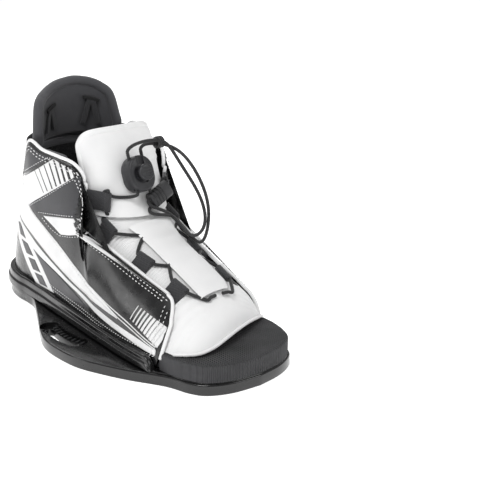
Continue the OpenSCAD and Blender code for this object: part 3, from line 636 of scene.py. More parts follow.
TAIL_LEFT = [
    (0.0034, -0.0126, 0.1594), (0.0054, -0.0162, 0.1612), (0.0095, -0.0204, 0.1614),
    (0.0145, -0.0223, 0.1606),
    (0.0190, -0.0280, 0.1600), (0.0205, -0.0380, 0.1580), (0.0200, -0.0480, 0.1545),
    (0.0195, -0.0570, 0.1490),
    (0.0195, -0.0650, 0.1420), (0.0200, -0.0715, 0.1330), (0.0205, -0.0765, 0.1220),
    (0.0210, -0.0770, 0.1090),
    (0.0215, -0.0735, 0.0980), (0.0220, -0.0700, 0.0890), (0.0225, -0.0645, 0.0840),
    (0.0235, -0.0585, 0.0830),
    (0.0245, -0.0520, 0.0845), (0.0250, -0.0450, 0.0875), (0.0255, -0.0370, 0.0910),
    (0.0260, -0.0290, 0.0945),
    (0.0230, -0.0275, 0.0990), (0.0150, -0.0310, 0.1020), (0.0070, -0.0318, 0.1035),
    (0.0000, -0.0300, 0.1050),
    (-0.0038, -0.0280, 0.1070)]


def lock_place(side, up):
    return LOCK_POS + Vector((side * CORD_OFFSET, 0, 0)) + LOCK_UP * up + LOCK_OUT * CORD_HEIGHT


def grip_place(side, along):
    return GRIP_POS + GRIP_SIDE * side * GRIP_HOLE + GRIP_AXIS * along


def run_length(points):
    return sum((b - a).length for a, b in zip(points, points[1:]))


def tail(name, side, route, node):
    """One free end of the lace: out of the lock, over the knot, down the front and back up into the grip."""
    path = [lock_place(side, LOCK_EXIT), lock_place(side, LOCK_EXIT + 1.5)]
    path += [Vector(p) / MM for p in route]
    path += [grip_place(side, along) for along in (-GRIP_LEN / 2 - 3.5, -GRIP_LEN / 2, -GRIP_LEN / 2 + 7)]
    path = eased(dense(path, 8), TAIL_EASING)
    o = new_piece(name, tube_mesh(path, LACE_R, sides=12), LACE, slot="lace", replaced=[node])
    centre = [p * MM for p in path]
    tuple(centre[0])
    round(run_length(centre), 4)
    return o


tail("lace_tail_near", -1, TAIL_RIGHT, "lace_tail_right")
tail("lace_tail_far", 1, TAIL_LEFT, "lace_tail_left")

# ---------- Base ----------

def both_sides(half):
    """A closed outline from a half outline on the +X side."""
    return list(half) + [(-x, y) for x, y in reversed(half[1:-1])]


def smooth_half(half, per):
    return [spline(half, i / per) for i in range((len(half) - 1) * per + 1)]


def inset_half(half, d):
    return [(max(x - d, 0), y - d * (y - 110) / 45 if y > 110 else y) for x, y in half]


def slab(outline, z0, z1, top_edge, bottom_edge=0.0):
    """A flat piece cut to an outline, with its edges rounded over."""
    bm = bmesh.new()
    face = bm.faces.new([bm.verts.new((x, y, z0)) for x, y in outline])
    made = bmesh.ops.extrude_face_region(bm, geom=[face])
    bmesh.ops.translate(bm, vec=(0, 0, z1 - z0), verts=[g for g in made["geom"]
                                                        if isinstance(g, bmesh.types.BMVert)])
    bmesh.ops.recalc_face_normals(bm, faces=bm.faces)
    for z, width in ((z1, top_edge), (z0, bottom_edge)):
        if width:
            rim = [e for e in bm.edges if all(abs(v.co.z - z) < 1e-6 for v in e.verts)]
            bmesh.ops.bevel(bm, geom=rim, offset=width, offset_type="OFFSET", segments=4, profile=0.5,
                            affect="EDGES", material=-1, clamp_overlap=True)
    return bm


def slot_outline(side, inner, outer, angle, steps=16):
    """A curved slot with round ends, on the ear of that side."""
    mid, half = (inner + outer) / 2, (outer - inner) / 2
    points = []
    for end in (1, -1):
        a = math.radians(end * angle)
        centre = Vector((mid * math.cos(a), mid * math.sin(a)))
        for k in range(steps + 1):
            b = a + (0 if end > 0 else math.pi) + math.pi * k / steps
            points.append(centre + Vector((math.cos(b), math.sin(b))) * half)
        for k in range(1, steps):
            b = math.radians(end * angle * (1 - 2 * k / steps))
            points.append(Vector((math.cos(b), math.sin(b))) * (inner if end > 0 else outer))
    return [(side * p.x, p.y) for p in points]


def cut(o, cutters):
    """Takes the cutters, in millimetres, out of a piece."""
    for bm in cutters:
        mesh = bpy.data.meshes.new("cutter")
        bmesh.ops.scale(bm, vec=(MM, MM, MM), verts=bm.verts)
        bmesh.ops.recalc_face_normals(bm, faces=bm.faces)
        bm.to_mesh(mesh)
        bm.free()
        tool = bpy.data.objects.new("cutter", mesh)
        bpy.context.scene.collection.objects.link(tool)
        m = o.modifiers.new("Cut", "BOOLEAN")
        m.operation, m.object, m.solver = "DIFFERENCE", tool, "EXACT"
        bpy.context.view_layer.update()
        shaped = bpy.data.meshes.new_from_object(o.evaluated_get(bpy.context.evaluated_depsgraph_get()))
        o.modifiers.remove(m)
        o.data = shaped
        bpy.data.objects.remove(tool)
    return o


def base():
    ears = new_piece("plate_ears", slab(both_sides(smooth_half(PLATE, 6)), 0, EAR_T, 1.4, 0.6), PLATE_NYLON,
                     slot="gloss_plate", replaced=["base_plate"])
    cutters = []
    for side in (-1, 1):
        cutters.append(slab(slot_outline(side, SLOT_R - SLOT_W / 2, SLOT_R + SLOT_W / 2, SLOT_ANGLE), -1,
                            EAR_T + 2, 0))
        cutters.append(slab(slot_outline(side, SLOT_R - 9, SLOT_R + 8, SLOT_ANGLE + 2), EAR_T - 3.4,
                            EAR_T + 2, 0))
    cut(ears, cutters)
    crisp(ears, 40)
    teeth = []
    for side in (-1, 1):
        for i in range(-4, 5):
            for inner, outer in ((SLOT_R - 8.4, SLOT_R - SLOT_W / 2 - 0.6),
                                 (SLOT_R + SLOT_W / 2 + 0.6, SLOT_R + 7.4)):
                a = math.radians(i * 4.2)
                tooth = bmesh.new()
                bmesh.ops.create_cube(tooth, size=1.0)
                bmesh.ops.scale(tooth, vec=(outer - inner, 2.4, 1.6), verts=tooth.verts)
                bmesh.ops.bevel(tooth, geom=tooth.edges, offset=0.5, segments=2, profile=0.5,
                                affect="EDGES", material=-1)
                seat = Matrix.Translation(((inner + outer) / 2, 0, EAR_T - 3.1))
                bmesh.ops.transform(tooth, matrix=Matrix.Rotation(a, 4, "Z") @ seat, verts=tooth.verts)
                if side < 0:
                    bmesh.ops.transform(tooth, matrix=Matrix.Rotation(math.pi, 4, "Z"), verts=tooth.verts)
                teeth.append(tooth)
    crisp(new_piece("ear_teeth", join_meshes(teeth), ETCHED_NYLON, slot="gloss_plate"))
    new_piece("plate_core", slab(both_sides(smooth_half(inset_half(FOOT, -4.6) + TOE, 4)), 0.4, PLATE_T,
                                 1.6, 0.0),
              PLATE_NYLON, slot="gloss_plate")
    # The raised rim of the plate round the sides and the heel
    half = smooth_half(FOOT, 6)
    steps = len(half) - 1
    profile = [(-0.4, -1.0), (-0.4, 0.9), (-1.2, 1.0), (-3.2, 1.0), (-4.6, 0.88), (-4.8, 0.5), (-5.6, 0.4),
               (-6.4, 0.25), (-6.6, -0.5)]

    def rim_place(s, t):
        k = (s * 2 - 1) * steps
        x, y = spline(half, abs(k))
        d, h = spline(profile, t * (len(profile) - 1))
        low = PLATE_T - 1.0
        top = rim_z(y)
        x2, y2 = inset_half([(x, y)], d)[0]
        if abs(k) < 0.5:
            x2 = 0.0 if abs(k) < 0.01 else x2 * abs(k) * 2
        z = mix(low + 3, top, h) if h > 0 else mix(low + 3, low, -h)
        end = max(0.0, (-92 - y) / 12.5)
        return Vector((math.copysign(x2, k), y2, mix(z, low, end ** 3)))

    rim = new_piece("heel_rim", sheet_grid(260, 32, rim_place), PLATE_NYLON, slot="gloss_plate")
    bm = bmesh.new()
    bm.from_mesh(rim.data)
    bmesh.ops.recalc_face_normals(bm, faces=bm.faces)
    bm.to_mesh(rim.data)
    bm.free()
    inner = inset_half([p for p in FOOT], 4)
    outline = both_sides(smooth_half(inner[:-1] + [(52.5, -103), (54.6, -106.5)], 4) + smooth_half(TOE, 8))
    crisp(new_piece("footbed_pad", slab(outline, PLATE_T, FOOTBED_Z, 1.8), EVA, slot="eva_foam",
                    replaced=["footbed"]), 60)


base()

# ---------- Side panels and their graphics ----------

def panel_top(u, front):
    """The highest v of a panel at a station; its front corner is rounded."""
    near = max(0.0, (u - (front - 0.75)) / 0.75)
    return 1.0 - 0.3 * near ** 3


def side_coords(p):
    """Places on a panel as on its flat pattern: distance round the boot, forward negative, and height."""
    w = lookup(p.z, WIDTH_Z)
    c = lookup(p.z, HEEL_Z) - w
    return (c + w * math.atan2(p.y - c, p.x) if p.y > c else p.y), p.z


PATTERN = [(u / 5, v / 25) for u in range(0, LAST_STATION * 5 + 1) for v in range(0, 26)]
PATTERN_TREE = kdtree.KDTree(len(PATTERN))
for number, (u_, v_) in enumerate(PATTERN):
    PATTERN_TREE.insert((*side_coords(panel_point(u_, v_)), 0), number)
PATTERN_TREE.balance()


def pattern_uv(q, z):
    """Station and share of a place on the flat pattern."""
    u, v = PATTERN[PATTERN_TREE.find((q, z, 0))[1]]
    for _ in range(6):
        q0, z0 = side_coords(panel_point(u, v))
        du, dv = 0.02, 0.01
        qu, zu = side_coords(panel_point(u + du if u < 17.9 else u - du, v))
        qv, zv = side_coords(panel_point(u, v + dv))
        a, b = (qu - q0) / (du if u < 17.9 else -du), (qv - q0) / dv
        c, d = (zu - z0) / (du if u < 17.9 else -du), (zv - z0) / dv
        det = a * d - b * c
        if abs(det) < 1e-6:
            break
        u = min(max(u + (d * (q - q0) - b * (z - z0)) / det, 0), LAST_STATION)
        v = min(max(v + (a * (z - z0) - c * (q - q0)) / det, 0.0), 1.1)
    return u, v


def on_panel(q, z, lift, side):
    front = PANEL_END[side]
    u, v = pattern_uv(q, z)
    u = min(u, front - 0.02)
    v = min(v, panel_top(u, front) - 0.012)
    return panel_skin(u, v, -lift, side)


def ribbon(name, side, first, second, material, lift=0.35, thickness=FILM_T, cells=(40, 5),
           slot="gloss_panel"):
    """A film between two curves of the flat pattern, bonded to a panel."""
    def place(s, t):
        a = spline(first, s * (len(first) - 1))
        b = spline(second, s * (len(second) - 1))
        return on_panel(mix(a[0], b[0], t), mix(a[1], b[1], t), lift, side)
    bm = sheet_grid(cells[0], cells[1], place)
    o = new_piece(name, bm, material, slot=slot)
    mesh = o.data
    face = mesh.polygons[len(mesh.polygons) // 2]
    out = Vector((side * 1.0, 0.3 if face.center.y > 0.05 else 0, 0))
    if face.normal.dot(out) < 0:
        mesh.flip_normals()
    film_wall(o, thickness)
    return o


BAND_UPPER = [(37, 147), (50, 139), (64, 131), (78, 125), (100, 120)]
BAND_LOWER = [(8, 139), (25, 127.5), (42, 117.5), (58, 108.5), (75, 99)]
SWEEP_UPPER = [(100, 120), (86, 109), (75, 99), (60, 90.5), (45, 82), (23, 70), (8, 61), (-6, 55),
               (-30, 46.5), (-54, 38)]
SWEEP_LOWER = [(128, 84.5), (113, 81), (93, 77), (69, 70), (43, 57), (23, 49.5), (5, 44), (-14, 41),
               (-33, 38.5), (-55, 36)]
LOW_UPPER = [(128, 82), (112, 79), (88, 73), (70, 66), (43, 54), (23, 46.5), (0, 40.5), (-33, 34.5),
             (-61, 30.5), (-85, 27.5), (-103, 25)]
LOW_LOWER = [(140, 62), (108, 74), (92, 65), (78, 58.5), (52, 51), (28, 44), (5, 38), (-33, 29),
             (-61, 25.5), (-86, 22), (-103, 21)]
FRAME_LEFT = [(140, 62), (122, 70), (113, 59), (102, 45), (94, 34), (84, 22)]
FRAME_RIGHT = [(122, 80), (97, 74), (78, 58.5), (68, 49), (59, 37), (50, 24)]


def pattern_line(side, points, lift=0.75, per=6):
    return [on_panel(q, z, lift, side) for q, z in (spline(points, i / per)
                                                    for i in range((len(points) - 1) * per + 1))]


def outward(side):
    def normal(p):
        n = Vector((side * abs(p.x), 0, 0))
        w = lookup(p.z, WIDTH_Z)
        c = lookup(p.z, HEEL_Z) - w
        if p.y > c:
            n = Vector((p.x, p.y - c, 0))
        return n.normalized()
    return normal


def side_panel(side, word, node_side):
    front = PANEL_END[side]
    skin_piece(f"panel_{word}", 230, 46, lambda s, t: panel_skin(s * front, t * panel_top(s * front, front),
                                                                 0.0, side),
               PANEL_T, GLOSS_PU, slot="gloss_panel", replaced=[f"side_panel_{node_side}"])
    ribbon(f"ankle_band_{word}", side, BAND_UPPER, BAND_LOWER, WHITE_FILM, cells=(40, 30))
    ribbon(f"upper_sweep_{word}", side, SWEEP_UPPER, SWEEP_LOWER, WHITE_FILM, cells=(90, 10))
    ribbon(f"lower_sweep_{word}", side, LOW_UPPER, LOW_LOWER, WHITE_FILM, cells=(100, 10))
    ribbon(f"heel_frame_{word}", side, FRAME_LEFT, FRAME_RIGHT, WHITE_FILM, cells=(40, 16))
    # Plain charcoal blocks along the heel frame, in place of printed letters
    for i, (a, b) in enumerate(((0.16, 0.34), (0.39, 0.56), (0.61, 0.78), (0.82, 0.95))):
        def edge(share, a=a, b=b):
            rows = []
            for k in range(6):
                s = mix(a, b, k / 5) * 5
                left, right = spline(FRAME_LEFT, s), spline(FRAME_RIGHT, s)
                rows.append((mix(left[0], right[0], share), mix(left[1], right[1], share)))
            return rows
        ribbon(f"heel_block_{word}_{i + 1}", side, edge(0.3), edge(0.72), SATIN_PU, lift=0.55,
               cells=(12, 6))
    ribbon(f"lower_grey_{word}", side, [(78, 57.5), (70, 47), (60, 36), (51, 25)],
           [(77, 57.5), (48, 48.5), (20, 39.5), (-8, 30)],
           SATIN_PU, lift=0.3, cells=(24, 20))
    ribbon(f"ankle_patch_{word}", side, [(75, 99), (45, 115.5), (7.5, 138)],
           [(68, 96), (54, 97), (7.5, 103)], SATIN_PU,
           lift=0.5, cells=(40, 30))
    ribbon(f"notch_block_{word}", side, [(51, 95.5), (26, 99.5), (4, 103)], [(27, 84.5), (14, 87), (3, 90)],
           WHITE_FILM,
           lift=0.5, cells=(30, 12))
    ribbon(f"rear_patch_{word}", side, [(40, 147), (55, 139), (68, 132), (82, 126), (100, 121.5)],
           [(44, 150), (58, 155), (72, 156), (84, 150), (99, 128)], SATIN_PU, lift=0.3, cells=(30, 16))
    # Bars that widen towards the collar, dark on the white band
    for i in range(9):
        share = i / 8
        top = spline([(60, 133.5), (48, 140), (37, 146.5), (26, 149), (14, 147)], share * 4)
        low = spline([(49, 116), (38, 121.5), (28, 127.5), (18, 133), (9, 138)], share * 4)
        wide = mix(0.5, 3.2, share)
        ribbon(f"collar_bar_{word}_{i + 1}", side, [top, low],
               [(top[0] - wide, top[1] - wide * 0.2), (low[0] - wide, low[1] + wide * 0.3)],
               GLOSS_PU, lift=0.55, cells=(14, 2))
    # Bars that widen towards the front edge, white on the gloss panel
    for i in range(10):
        share = i / 9
        top = (mix(-73, -107, share), mix(51, 43, share))
        low = (mix(-69, -100, share), mix(40, 29, share))
        wide = mix(0.7, 4.2, share)
        ribbon(f"front_bar_{word}_{i + 1}", side, [top, low],
               [(top[0] - wide, top[1] - wide * 0.25), (low[0] - wide, low[1] - wide * 0.35)],
               WHITE_FILM, lift=0.45, cells=(10, 2))
    # Thin lines along the sweeps
    for i, (rise, material) in enumerate(((-0.6, WHITE_FILM), (2.2, WHITE_FILM))):
        line = [(-6, 53 + rise), (-32, 44.5 + rise), (-60, 37 + rise), (-84, 30.5 + rise * 0.8),
                (-102, 26.5 + rise * 0.6)]
        ribbon(f"thin_line_{word}_{i + 1}", side, line, [(q, z - 0.9) for q, z in line], material,
               lift=0.45, cells=(60, 2))
    # White bars at the heel seam, thinner towards the sole
    for i in range(5):
        z, tall, half = 50.5 - i * 5.6, 3.4 - i * 0.55, 29 - i * 2.2

        def place(s, t, z=z, tall=tall, half=half):
            x = mix(0.4, half, s)
            u, v = heel_uv(x, z + (t - 0.5) * tall)
            return panel_skin(u, v, -0.45, side)
        o = new_piece(f"heel_bar_{word}_{i + 1}", sheet_grid(16, 2, place), WHITE_FILM, slot="gloss_panel")
        if o.data.polygons[8].normal.y < 0:
            o.data.flip_normals()
        film_wall(o, FILM_T)
    n = outward(side)
    edges = []
    for inset in EDGE_ROWS:
        line = []
        for i in range(240):
            u = 0.5 + i * (front - 1.1) / 239
            line.append(flip(panel_point(u, 1) - edge_out(u) * inset + panel_normal(u, 1) * 0.8, side))
        edges.append((line, n))
    for inset in FRONT_ROWS:
        edges.append(([panel_skin(front - inset / 9, mix(0.14, 0.86, i / 30), -0.8, side)
                       for i in range(31)], n))
    stitches(f"edge_stitching_{word}", edges, THREAD, slot="gloss_panel")
    seams = [pattern_line(side, [(73, 98.5), (45, 114), (12, 134.5)], 1.0),
             pattern_line(side, [(56, 97.5), (30, 101), (10, 104)], 1.0),
             pattern_line(side, [(27, 83.5), (14, 85.5), (2, 88.5)], 0.5),
             pattern_line(side, [(52, 93), (40, 86), (27, 83)], 0.6),
             pattern_line(side, [(72, 96), (45, 79.5), (23, 67.5), (8, 58.5), (-6, 52), (-30, 43.5),
                                 (-54, 36.5)], 0.6, 8),
             pattern_line(side, [(40, 148.5), (55, 140.5), (68, 133.5), (82, 127.5)], 0.8),
             pattern_line(side, [(52, 27.5), (19, 24.5), (-19, 21.8), (-55, 20), (-87, 20), (-104, 20)],
                          0.5, 8),
             pattern_line(side, [(54, 31), (19, 28), (-19, 25.2), (-55, 23.2), (-87, 22.6)], 0.5, 8),
             pattern_line(side, [(138, 61), (126, 56), (112, 54)], 0.5)]
    stitches(f"seam_stitching_{word}", [(line, n) for line in seams], THREAD, length=1.9, pitch=3.2, r=0.36,
             slot="gloss_panel")


def flip(p, side):
    return Vector((side * p.x, p.y, p.z))


def heel_uv(x, z):
    """Station and share of a place at offset x and height z on the heel."""
    u, v = x / 12.0, 0.5
    for _ in range(12):
        p, pu, pv = panel_point(u, v), panel_point(u + 0.02, v), panel_point(u, v + 0.01)
        a, b, c, d = (pu.x - p.x) / 0.02, (pv.x - p.x) / 0.01, (pu.z - p.z) / 0.02, (pv.z - p.z) / 0.01
        det = a * d - b * c
        u = min(max(u + (d * (x - p.x) - b * (z - p.z)) / det, 0), 7)
        v = min(max(v + (a * (z - p.z) - c * (x - p.x)) / det, 0.02), 0.99)
    return u, v


def piping(side, word, node_side):
    front = PANEL_END[side]
    lift = PIPING_R + 0.1
    line = []
    for i in range(220):
        u = 0.05 + i * (front - 0.9) / 219
        line.append(panel_point(u, 1) + edge_out(u) * lift - panel_normal(u, 1) * PANEL_T / 2)
    for i in range(1, 22):
        u = front - 0.85 + 0.85 * i / 22
        v = panel_top(u, front)
        turn = Vector((0, -0.3 * i / 22, 1 - i / 22))
        line.append(panel_point(u, v) + turn * lift - panel_normal(u, v) * PANEL_T / 2)
    for i in range(25):
        v = mix(0.69, 0.1, i / 24)
        line.append(panel_point(front, v) + Vector((0, -lift, 0)) - panel_normal(front, v) * PANEL_T / 2)
    path = [flip(Vector((max(p.x, 0.4), p.y, p.z)), side) for p in line]
    new_piece(f"piping_{word}_edge", tube_mesh(path, PIPING_R, sides=12), PIPING_PU, slot="piping",
              replaced=[f"piping_{node_side}"])


for side_, word_, node_side_ in SIDES:
    side_panel(side_, word_, node_side_)
    piping(side_, word_, node_side_)

# ---------- Heel, label, liner and flap ----------

REAR_STEPS = [0.5 + i * 0.5 * 13 / 14 for i in range(15)]
REAR_LINE = [tuple(panel_point(u, 1) + edge_out(u) * (2 * PIPING_R + 0.2)) for u in REAR_STEPS]


def rear_place(s, t):
    p = spline(REAR_LINE, t * (len(REAR_LINE) - 1))
    z = min(p[2], 154.5)
    swell = 0.6 * math.sin(math.pi * s) * math.sin(math.pi * t)
    return back_point(p[0] * (2 * s - 1), z, -swell)


skin_piece("heel_neoprene", 60, 90, rear_place, REAR_T, NEOPRENE, slot="neoprene", replaced=["rear_panel"])


def label_field(name, half, low, high, corner, lift, material, round_low=True, round_high=True, replaced=(),
                left=None):
    """A rounded rectangle that follows the heel."""
    def place(s, t):
        z = mix(low, high, t)
        edge = min(z - low if round_low else corner, high - z if round_high else corner, corner)
        cut_in = corner - math.sqrt(max(corner ** 2 - (corner - edge) ** 2, 0))
        a = mix(-half if left is None else left, half, s)
        a = max(min(a, half - cut_in), (-half if left is None else left) + cut_in)
        return back_point(a, z, -lift)
    o = new_piece(name, sheet_grid(48, 24, place), material, slot="label", replaced=replaced)
    if o.data.polygons[0].normal.y < 0:
        o.data.flip_normals()
    film_wall(o, LABEL_T)
    return o


label_field("label_frame", 35.2, 90, 132.4, 4.0, 1.1, PATCH_WHITE, replaced=["label_patch"])
label_field("label_ground", 34.0, 91.2, 131.2, 3.2, 1.3, PATCH_FIELD)
label_field("label_header", 34.0, 124.6, 131.2, 3.2, 1.5, PATCH_ORANGE, round_low=False)
for row_ in range(8):
    reach_ = (31, 31, 31, 30, 27, 26, 4, 10)[row_]
    label_field(f"label_bar_{row_ + 1}", reach_, 120.9 - row_ * 3.5, 122.3 - row_ * 3.5, 0.5, 1.5,
                PATCH_WHITE, left=-31)


def liner_place(s, t, depth=0.0, low=25.0, high=141.0):
    """The liner runs from its front end on the +X side round the heel to the other side."""
    z = mix(low, high, t)
    skin = 4.3 + depth
    w = lookup(z, WIDTH_Z) - skin
    c = lookup(z, HEEL_Z) - lookup(z, WIDTH_Z)
    side = 1 if s < 0.5 else -1
    k = abs(s - 0.5) * 2
    if k > 0.62:
        f = (k - 0.62) / 0.38
        x = mix(w, lookup(z, LINER_FRONT) - depth, f ** 1.6)
        y = mix(c, 32, f)
    else:
        a = math.radians(90 * (1 - k / 0.62))
        x, y = w * math.cos(a), c + w * math.sin(a)
    return Vector((side * x, y, z))


liner_ = skin_piece("ankle_padding", 120, 60, liner_place, LINER_T, SPACER_MESH, slot="neoprene",
                    replaced=["ankle_liner"])
roll_ = [liner_place(i / 90, 1.0, LINER_T / 2) for i in range(91)]
new_piece("collar_roll", tube_mesh(roll_, 3.4, sides=14), NEOPRENE, slot="neoprene")


def flap_place(s, t):
    return flap_point(mix(-FLAP_ANGLE, FLAP_ANGLE, s) * 0.985, t, 0.8)


def flap_inner(s, t):
    crown = math.sin(math.pi * min(max(s, 0), 1)) ** 0.5 * math.sin(math.pi * min(t, 1.0)) ** 0.5
    return flap_point(mix(-FLAP_ANGLE, FLAP_ANGLE, s) * 0.985, t, FLAP_T - 1.6 + 1.3 * crown)


def closed_pad(name, outer, inner, columns, rows, material, **facts):
    """A pad with its own outer and inner faces, closed round its rim."""
    front = sheet_grid(columns, rows, outer)
    back = sheet_grid(columns, rows, inner)
    whole = join_meshes([front, back])
    rims = [e for e in whole.edges if e.is_boundary]
    bmesh.ops.bridge_loops(whole, edges=rims)
    bmesh.ops.recalc_face_normals(whole, faces=whole.faces)
    return new_piece(name, whole, material, **facts)


closed_pad("flap_pad", flap_place, flap_inner, 72, 36, FLAP_FOAM, body="rear_flap",
                     slot="flap_foam",
                     replaced=["rear_flap"])
band_ = []
for i in range(25):
    band_.append(flap_point(-FLAP_ANGLE * 0.985, mix(0.1, 1, i / 24), FLAP_T / 2))
for i in range(1, 120):
    band_.append(flap_point(mix(-FLAP_ANGLE, FLAP_ANGLE, i / 120) * 0.985, 1, FLAP_T / 2))
for i in range(25):
    band_.append(flap_point(FLAP_ANGLE * 0.985, mix(1, 0.1, i / 24), FLAP_T / 2))
band_ = eased(band_)
new_piece("flap_edge_roll", tube_mesh(band_, 4.5, sides=18), FLAP_FOAM, body="rear_flap",
                    slot="flap_foam")


def strap(name, points, width, thickness, face, material, body="root", slot="webbing", replaced=()):
    """A flat band of webbing along points, its broad side facing the direction face gives."""
    points = [Vector(p) for p in points]
    steps = len(points) - 1

    def place(s, t):
        i = min(int(round(s * steps)), steps)
        p = points[i]
        along = (points[min(i + 1, steps)] - points[max(i - 1, 0)]).normalized()
        n = Vector(face(p))
        across = along.cross(n).normalized()
        return p + across * (t - 0.5) * width + n * thickness / 2
    o = new_piece(name, sheet_grid(steps, 6, place), material, body=body, slot=slot, replaced=replaced)
    wall = o.modifiers.new("Wall", "SOLIDIFY")
    wall.thickness, wall.offset = thickness * MM, 0.0
    soft = o.modifiers.new("Soft edge", "BEVEL")
    soft.width, soft.segments, soft.limit_method = thickness * 0.3 * MM, 2, "ANGLE"
    return o


def pull_loop(side, word, node_side):
    """A folded webbing handle sewn to the inside of the flap in a V."""
    centre = side * 30

    def at(across, up, lift=1.0):
        return flap_point(centre + across / 45 * 57.3, 0.42 + up / 40, FLAP_T + lift)

    def face(p):
        return (Vector((0, FLAP_Y, p.z)) - Vector((p.x, p.y, p.z))).normalized()
    legs = []
    for end in (-1, 1):
        legs.append([at(end * mix(7.5, 1.2, i / 10), mix(-10, 11, i / 10)) for i in range(11)])
    for i, leg in enumerate(legs):
        strap(f"pull_strap_{word}_{i + 1}", leg, 4.6, 1.4, face, WEBBING, body="rear_flap",
              replaced=[f"pull_loop_{node_side}"] if i == 0 else [])
    # Painted shade: a near-black bar across the top of the V, darker than the webbing, standing in for the
    # shade under the loop's fold
    strap(f"pull_bar_shade_{word}", [at(mix(-8, 8, i / 10), 11.5, 0.9) for i in range(11)], 3.2, 1.6, face, PAINTED_SHADE_NYLON,
          body="rear_flap")


for side_, word_, node_side_ in SIDES:
    pull_loop(side_, word_, node_side_)

for side_, word_, node_side_ in SIDES:
    path_ = dense([(side_ * 45.3, 59, 147.5), (side_ * 44.5, 50, 146.5), (side_ * 43.2, 40, 146),
                   (side_ * 41.8, 31, 145.8)], 10)
    new_piece(f"collar_pad_{word_}_roll", tube_mesh(path_,
                                                              lambda k: 3.9 * (1 - (2 * k - 1) ** 6 * 0.5),
                                                              sides=18), NEOPRENE,
                        slot="neoprene", replaced=[f"collar_pad_{node_side_}"])

# ---------- Forefoot cover and tongue ----------

RIB_PITCH = 2.6


def cover_place(s, t):
    r = mix(-1, 6, t)
    degrees = mix(-89, 89, s)
    run = (r + 1) * 18.0 + (3.0 * math.sin(math.radians(degrees * 2)))
    outside = min(max((abs(degrees) - 15) / 4, 0), 1) * min(max((r + 0.75) / 0.5, 0), 1)
    rib = 0.7 * abs(math.sin(math.pi * run / RIB_PITCH)) * outside
    puff = 0.7 * math.sin(run / 5.2 + degrees / 23) * min(max((abs(degrees) - 20) / 30, 0), 1)
    return cover_point(r, degrees, -rib - puff + 0.3)


skin_piece("cover_fabric", 110, 330, cover_place, COVER_T, STRETCH, slot="stretch_fabric",
           replaced=["forefoot_cover"])
hem_ = [Vector(spline(TOE_EDGE, i / 12)) + Vector((0, -0.2, 0.9))
        for i in range((len(TOE_EDGE) - 1) * 12 + 1)]
new_piece("cover_hem", tube_mesh(hem_, 1.5, sides=12), PIPING_PU, slot="stretch_fabric")


def gusset(side, word):
    """Stretch fabric low in the corner between a panel's edge and the tongue at the ankle."""
    def place(s, t):
        u, r = mix(12.9, 15.6, s), mix(6.0, 3.7, s)
        rim = panel_skin(u, 0.93, PANEL_T + 0.4, side)
        seat = flip(cover_point(r, 62, -0.3), side)
        rib = 0.5 * abs(math.sin(math.pi * s * 15))
        sag = Vector((0, 0, -1.0 + rib)) * math.sin(math.pi * t)
        return rim.lerp(seat, t) + sag
    skin_piece(f"ankle_gusset_{word}", 90, 14, place, 1.2, STRETCH, slot="stretch_fabric")


for side_, word_, node_side_ in SIDES:
    gusset(side_, word_)


def keeper_place(s, t):
    r = mix(-0.2, 4.3, t)
    degrees = mix(-KEEPER_ANGLE, KEEPER_ANGLE, s)
    lap = 1 - abs(2 * s - 1) ** 4
    return cover_point(r, degrees, -(3.0 + 0.9 * lap + 0.25 * math.sin(r * 7.0) * lap))


skin_piece("keeper_strip", 30, 110, keeper_place, 0.9, STRETCH, slot="stretch_fabric",
           replaced=["lace_keeper"])


def tongue_outer(s, t):
    j, a = mix(0, 6, t), mix(-1, 1, s)
    ribs = 0.0
    if 3.3 < j < 5.9 and a > 0.2:
        ribs = 0.7 * abs(math.sin(math.pi * (j - 3.3) / 0.5)) * min((a - 0.2) * 6, 1) * min((5.9 - j) * 4,
                                                                                            1)
    crown = 0.8 * math.sin(math.pi * s) * math.sin(math.pi * t)
    return tongue_point(j, a * 0.97, -ribs - crown + 0.6)


def tongue_inner(s, t):
    return tongue_point(mix(0, 6, t), mix(-1, 1, s) * 0.97,
                        TONGUE_T - 0.6 + 0.8 * math.sin(math.pi * s) * math.sin(math.pi * t))


closed_pad("tongue_body", tongue_outer, tongue_inner, 96, 80, TONGUE_FABRIC, slot="padded_fabric",
                     replaced=["tongue"])
rim_ = [tongue_point(mix(2.3, 6, i / 30), -0.97, TONGUE_T / 2) for i in range(31)]
rim_ += [tongue_point(6, mix(-0.97, 0.97, i / 60), TONGUE_T / 2) for i in range(1, 61)]
rim_ += [tongue_point(mix(6, 2.3, i / 30), 0.97, TONGUE_T / 2) for i in range(1, 31)]
rim_ = eased(rim_)
new_piece("tongue_edge_roll", tube_mesh(rim_, 3.1, sides=16), PIPING_PU, slot="padded_fabric")

# ---------- Lacing ----------

LOOP_STATIONS = [12.2, 14.45, 15.7, 17.2]
LOOP_W, LOOP_R = 16.0, 2.9
EYE_LIFT = LOOP_R + 0.3
EYES = [tongue_point(1.5, 0.52, -EYE_LIFT), cover_point(4.75, 25, -EYE_LIFT),
        cover_point(2.5, 24, -EYE_LIFT),
        cover_point(0.45, 21, -EYE_LIFT)]


def loop_base(i):
    u = LOOP_STATIONS[i]
    return panel_point(u, 1) - panel_normal(u, 1) * (PANEL_T + 1.6)


def loop_reach(i):
    return (EYES[i] - loop_base(i)).normalized()


def loop_bore(i):
    u = LOOP_STATIONS[i]
    t = (panel_point(u + 0.2, 1) - panel_point(u - 0.2, 1)).normalized()
    r = loop_reach(i)
    return (t - r * t.dot(r)).normalized()


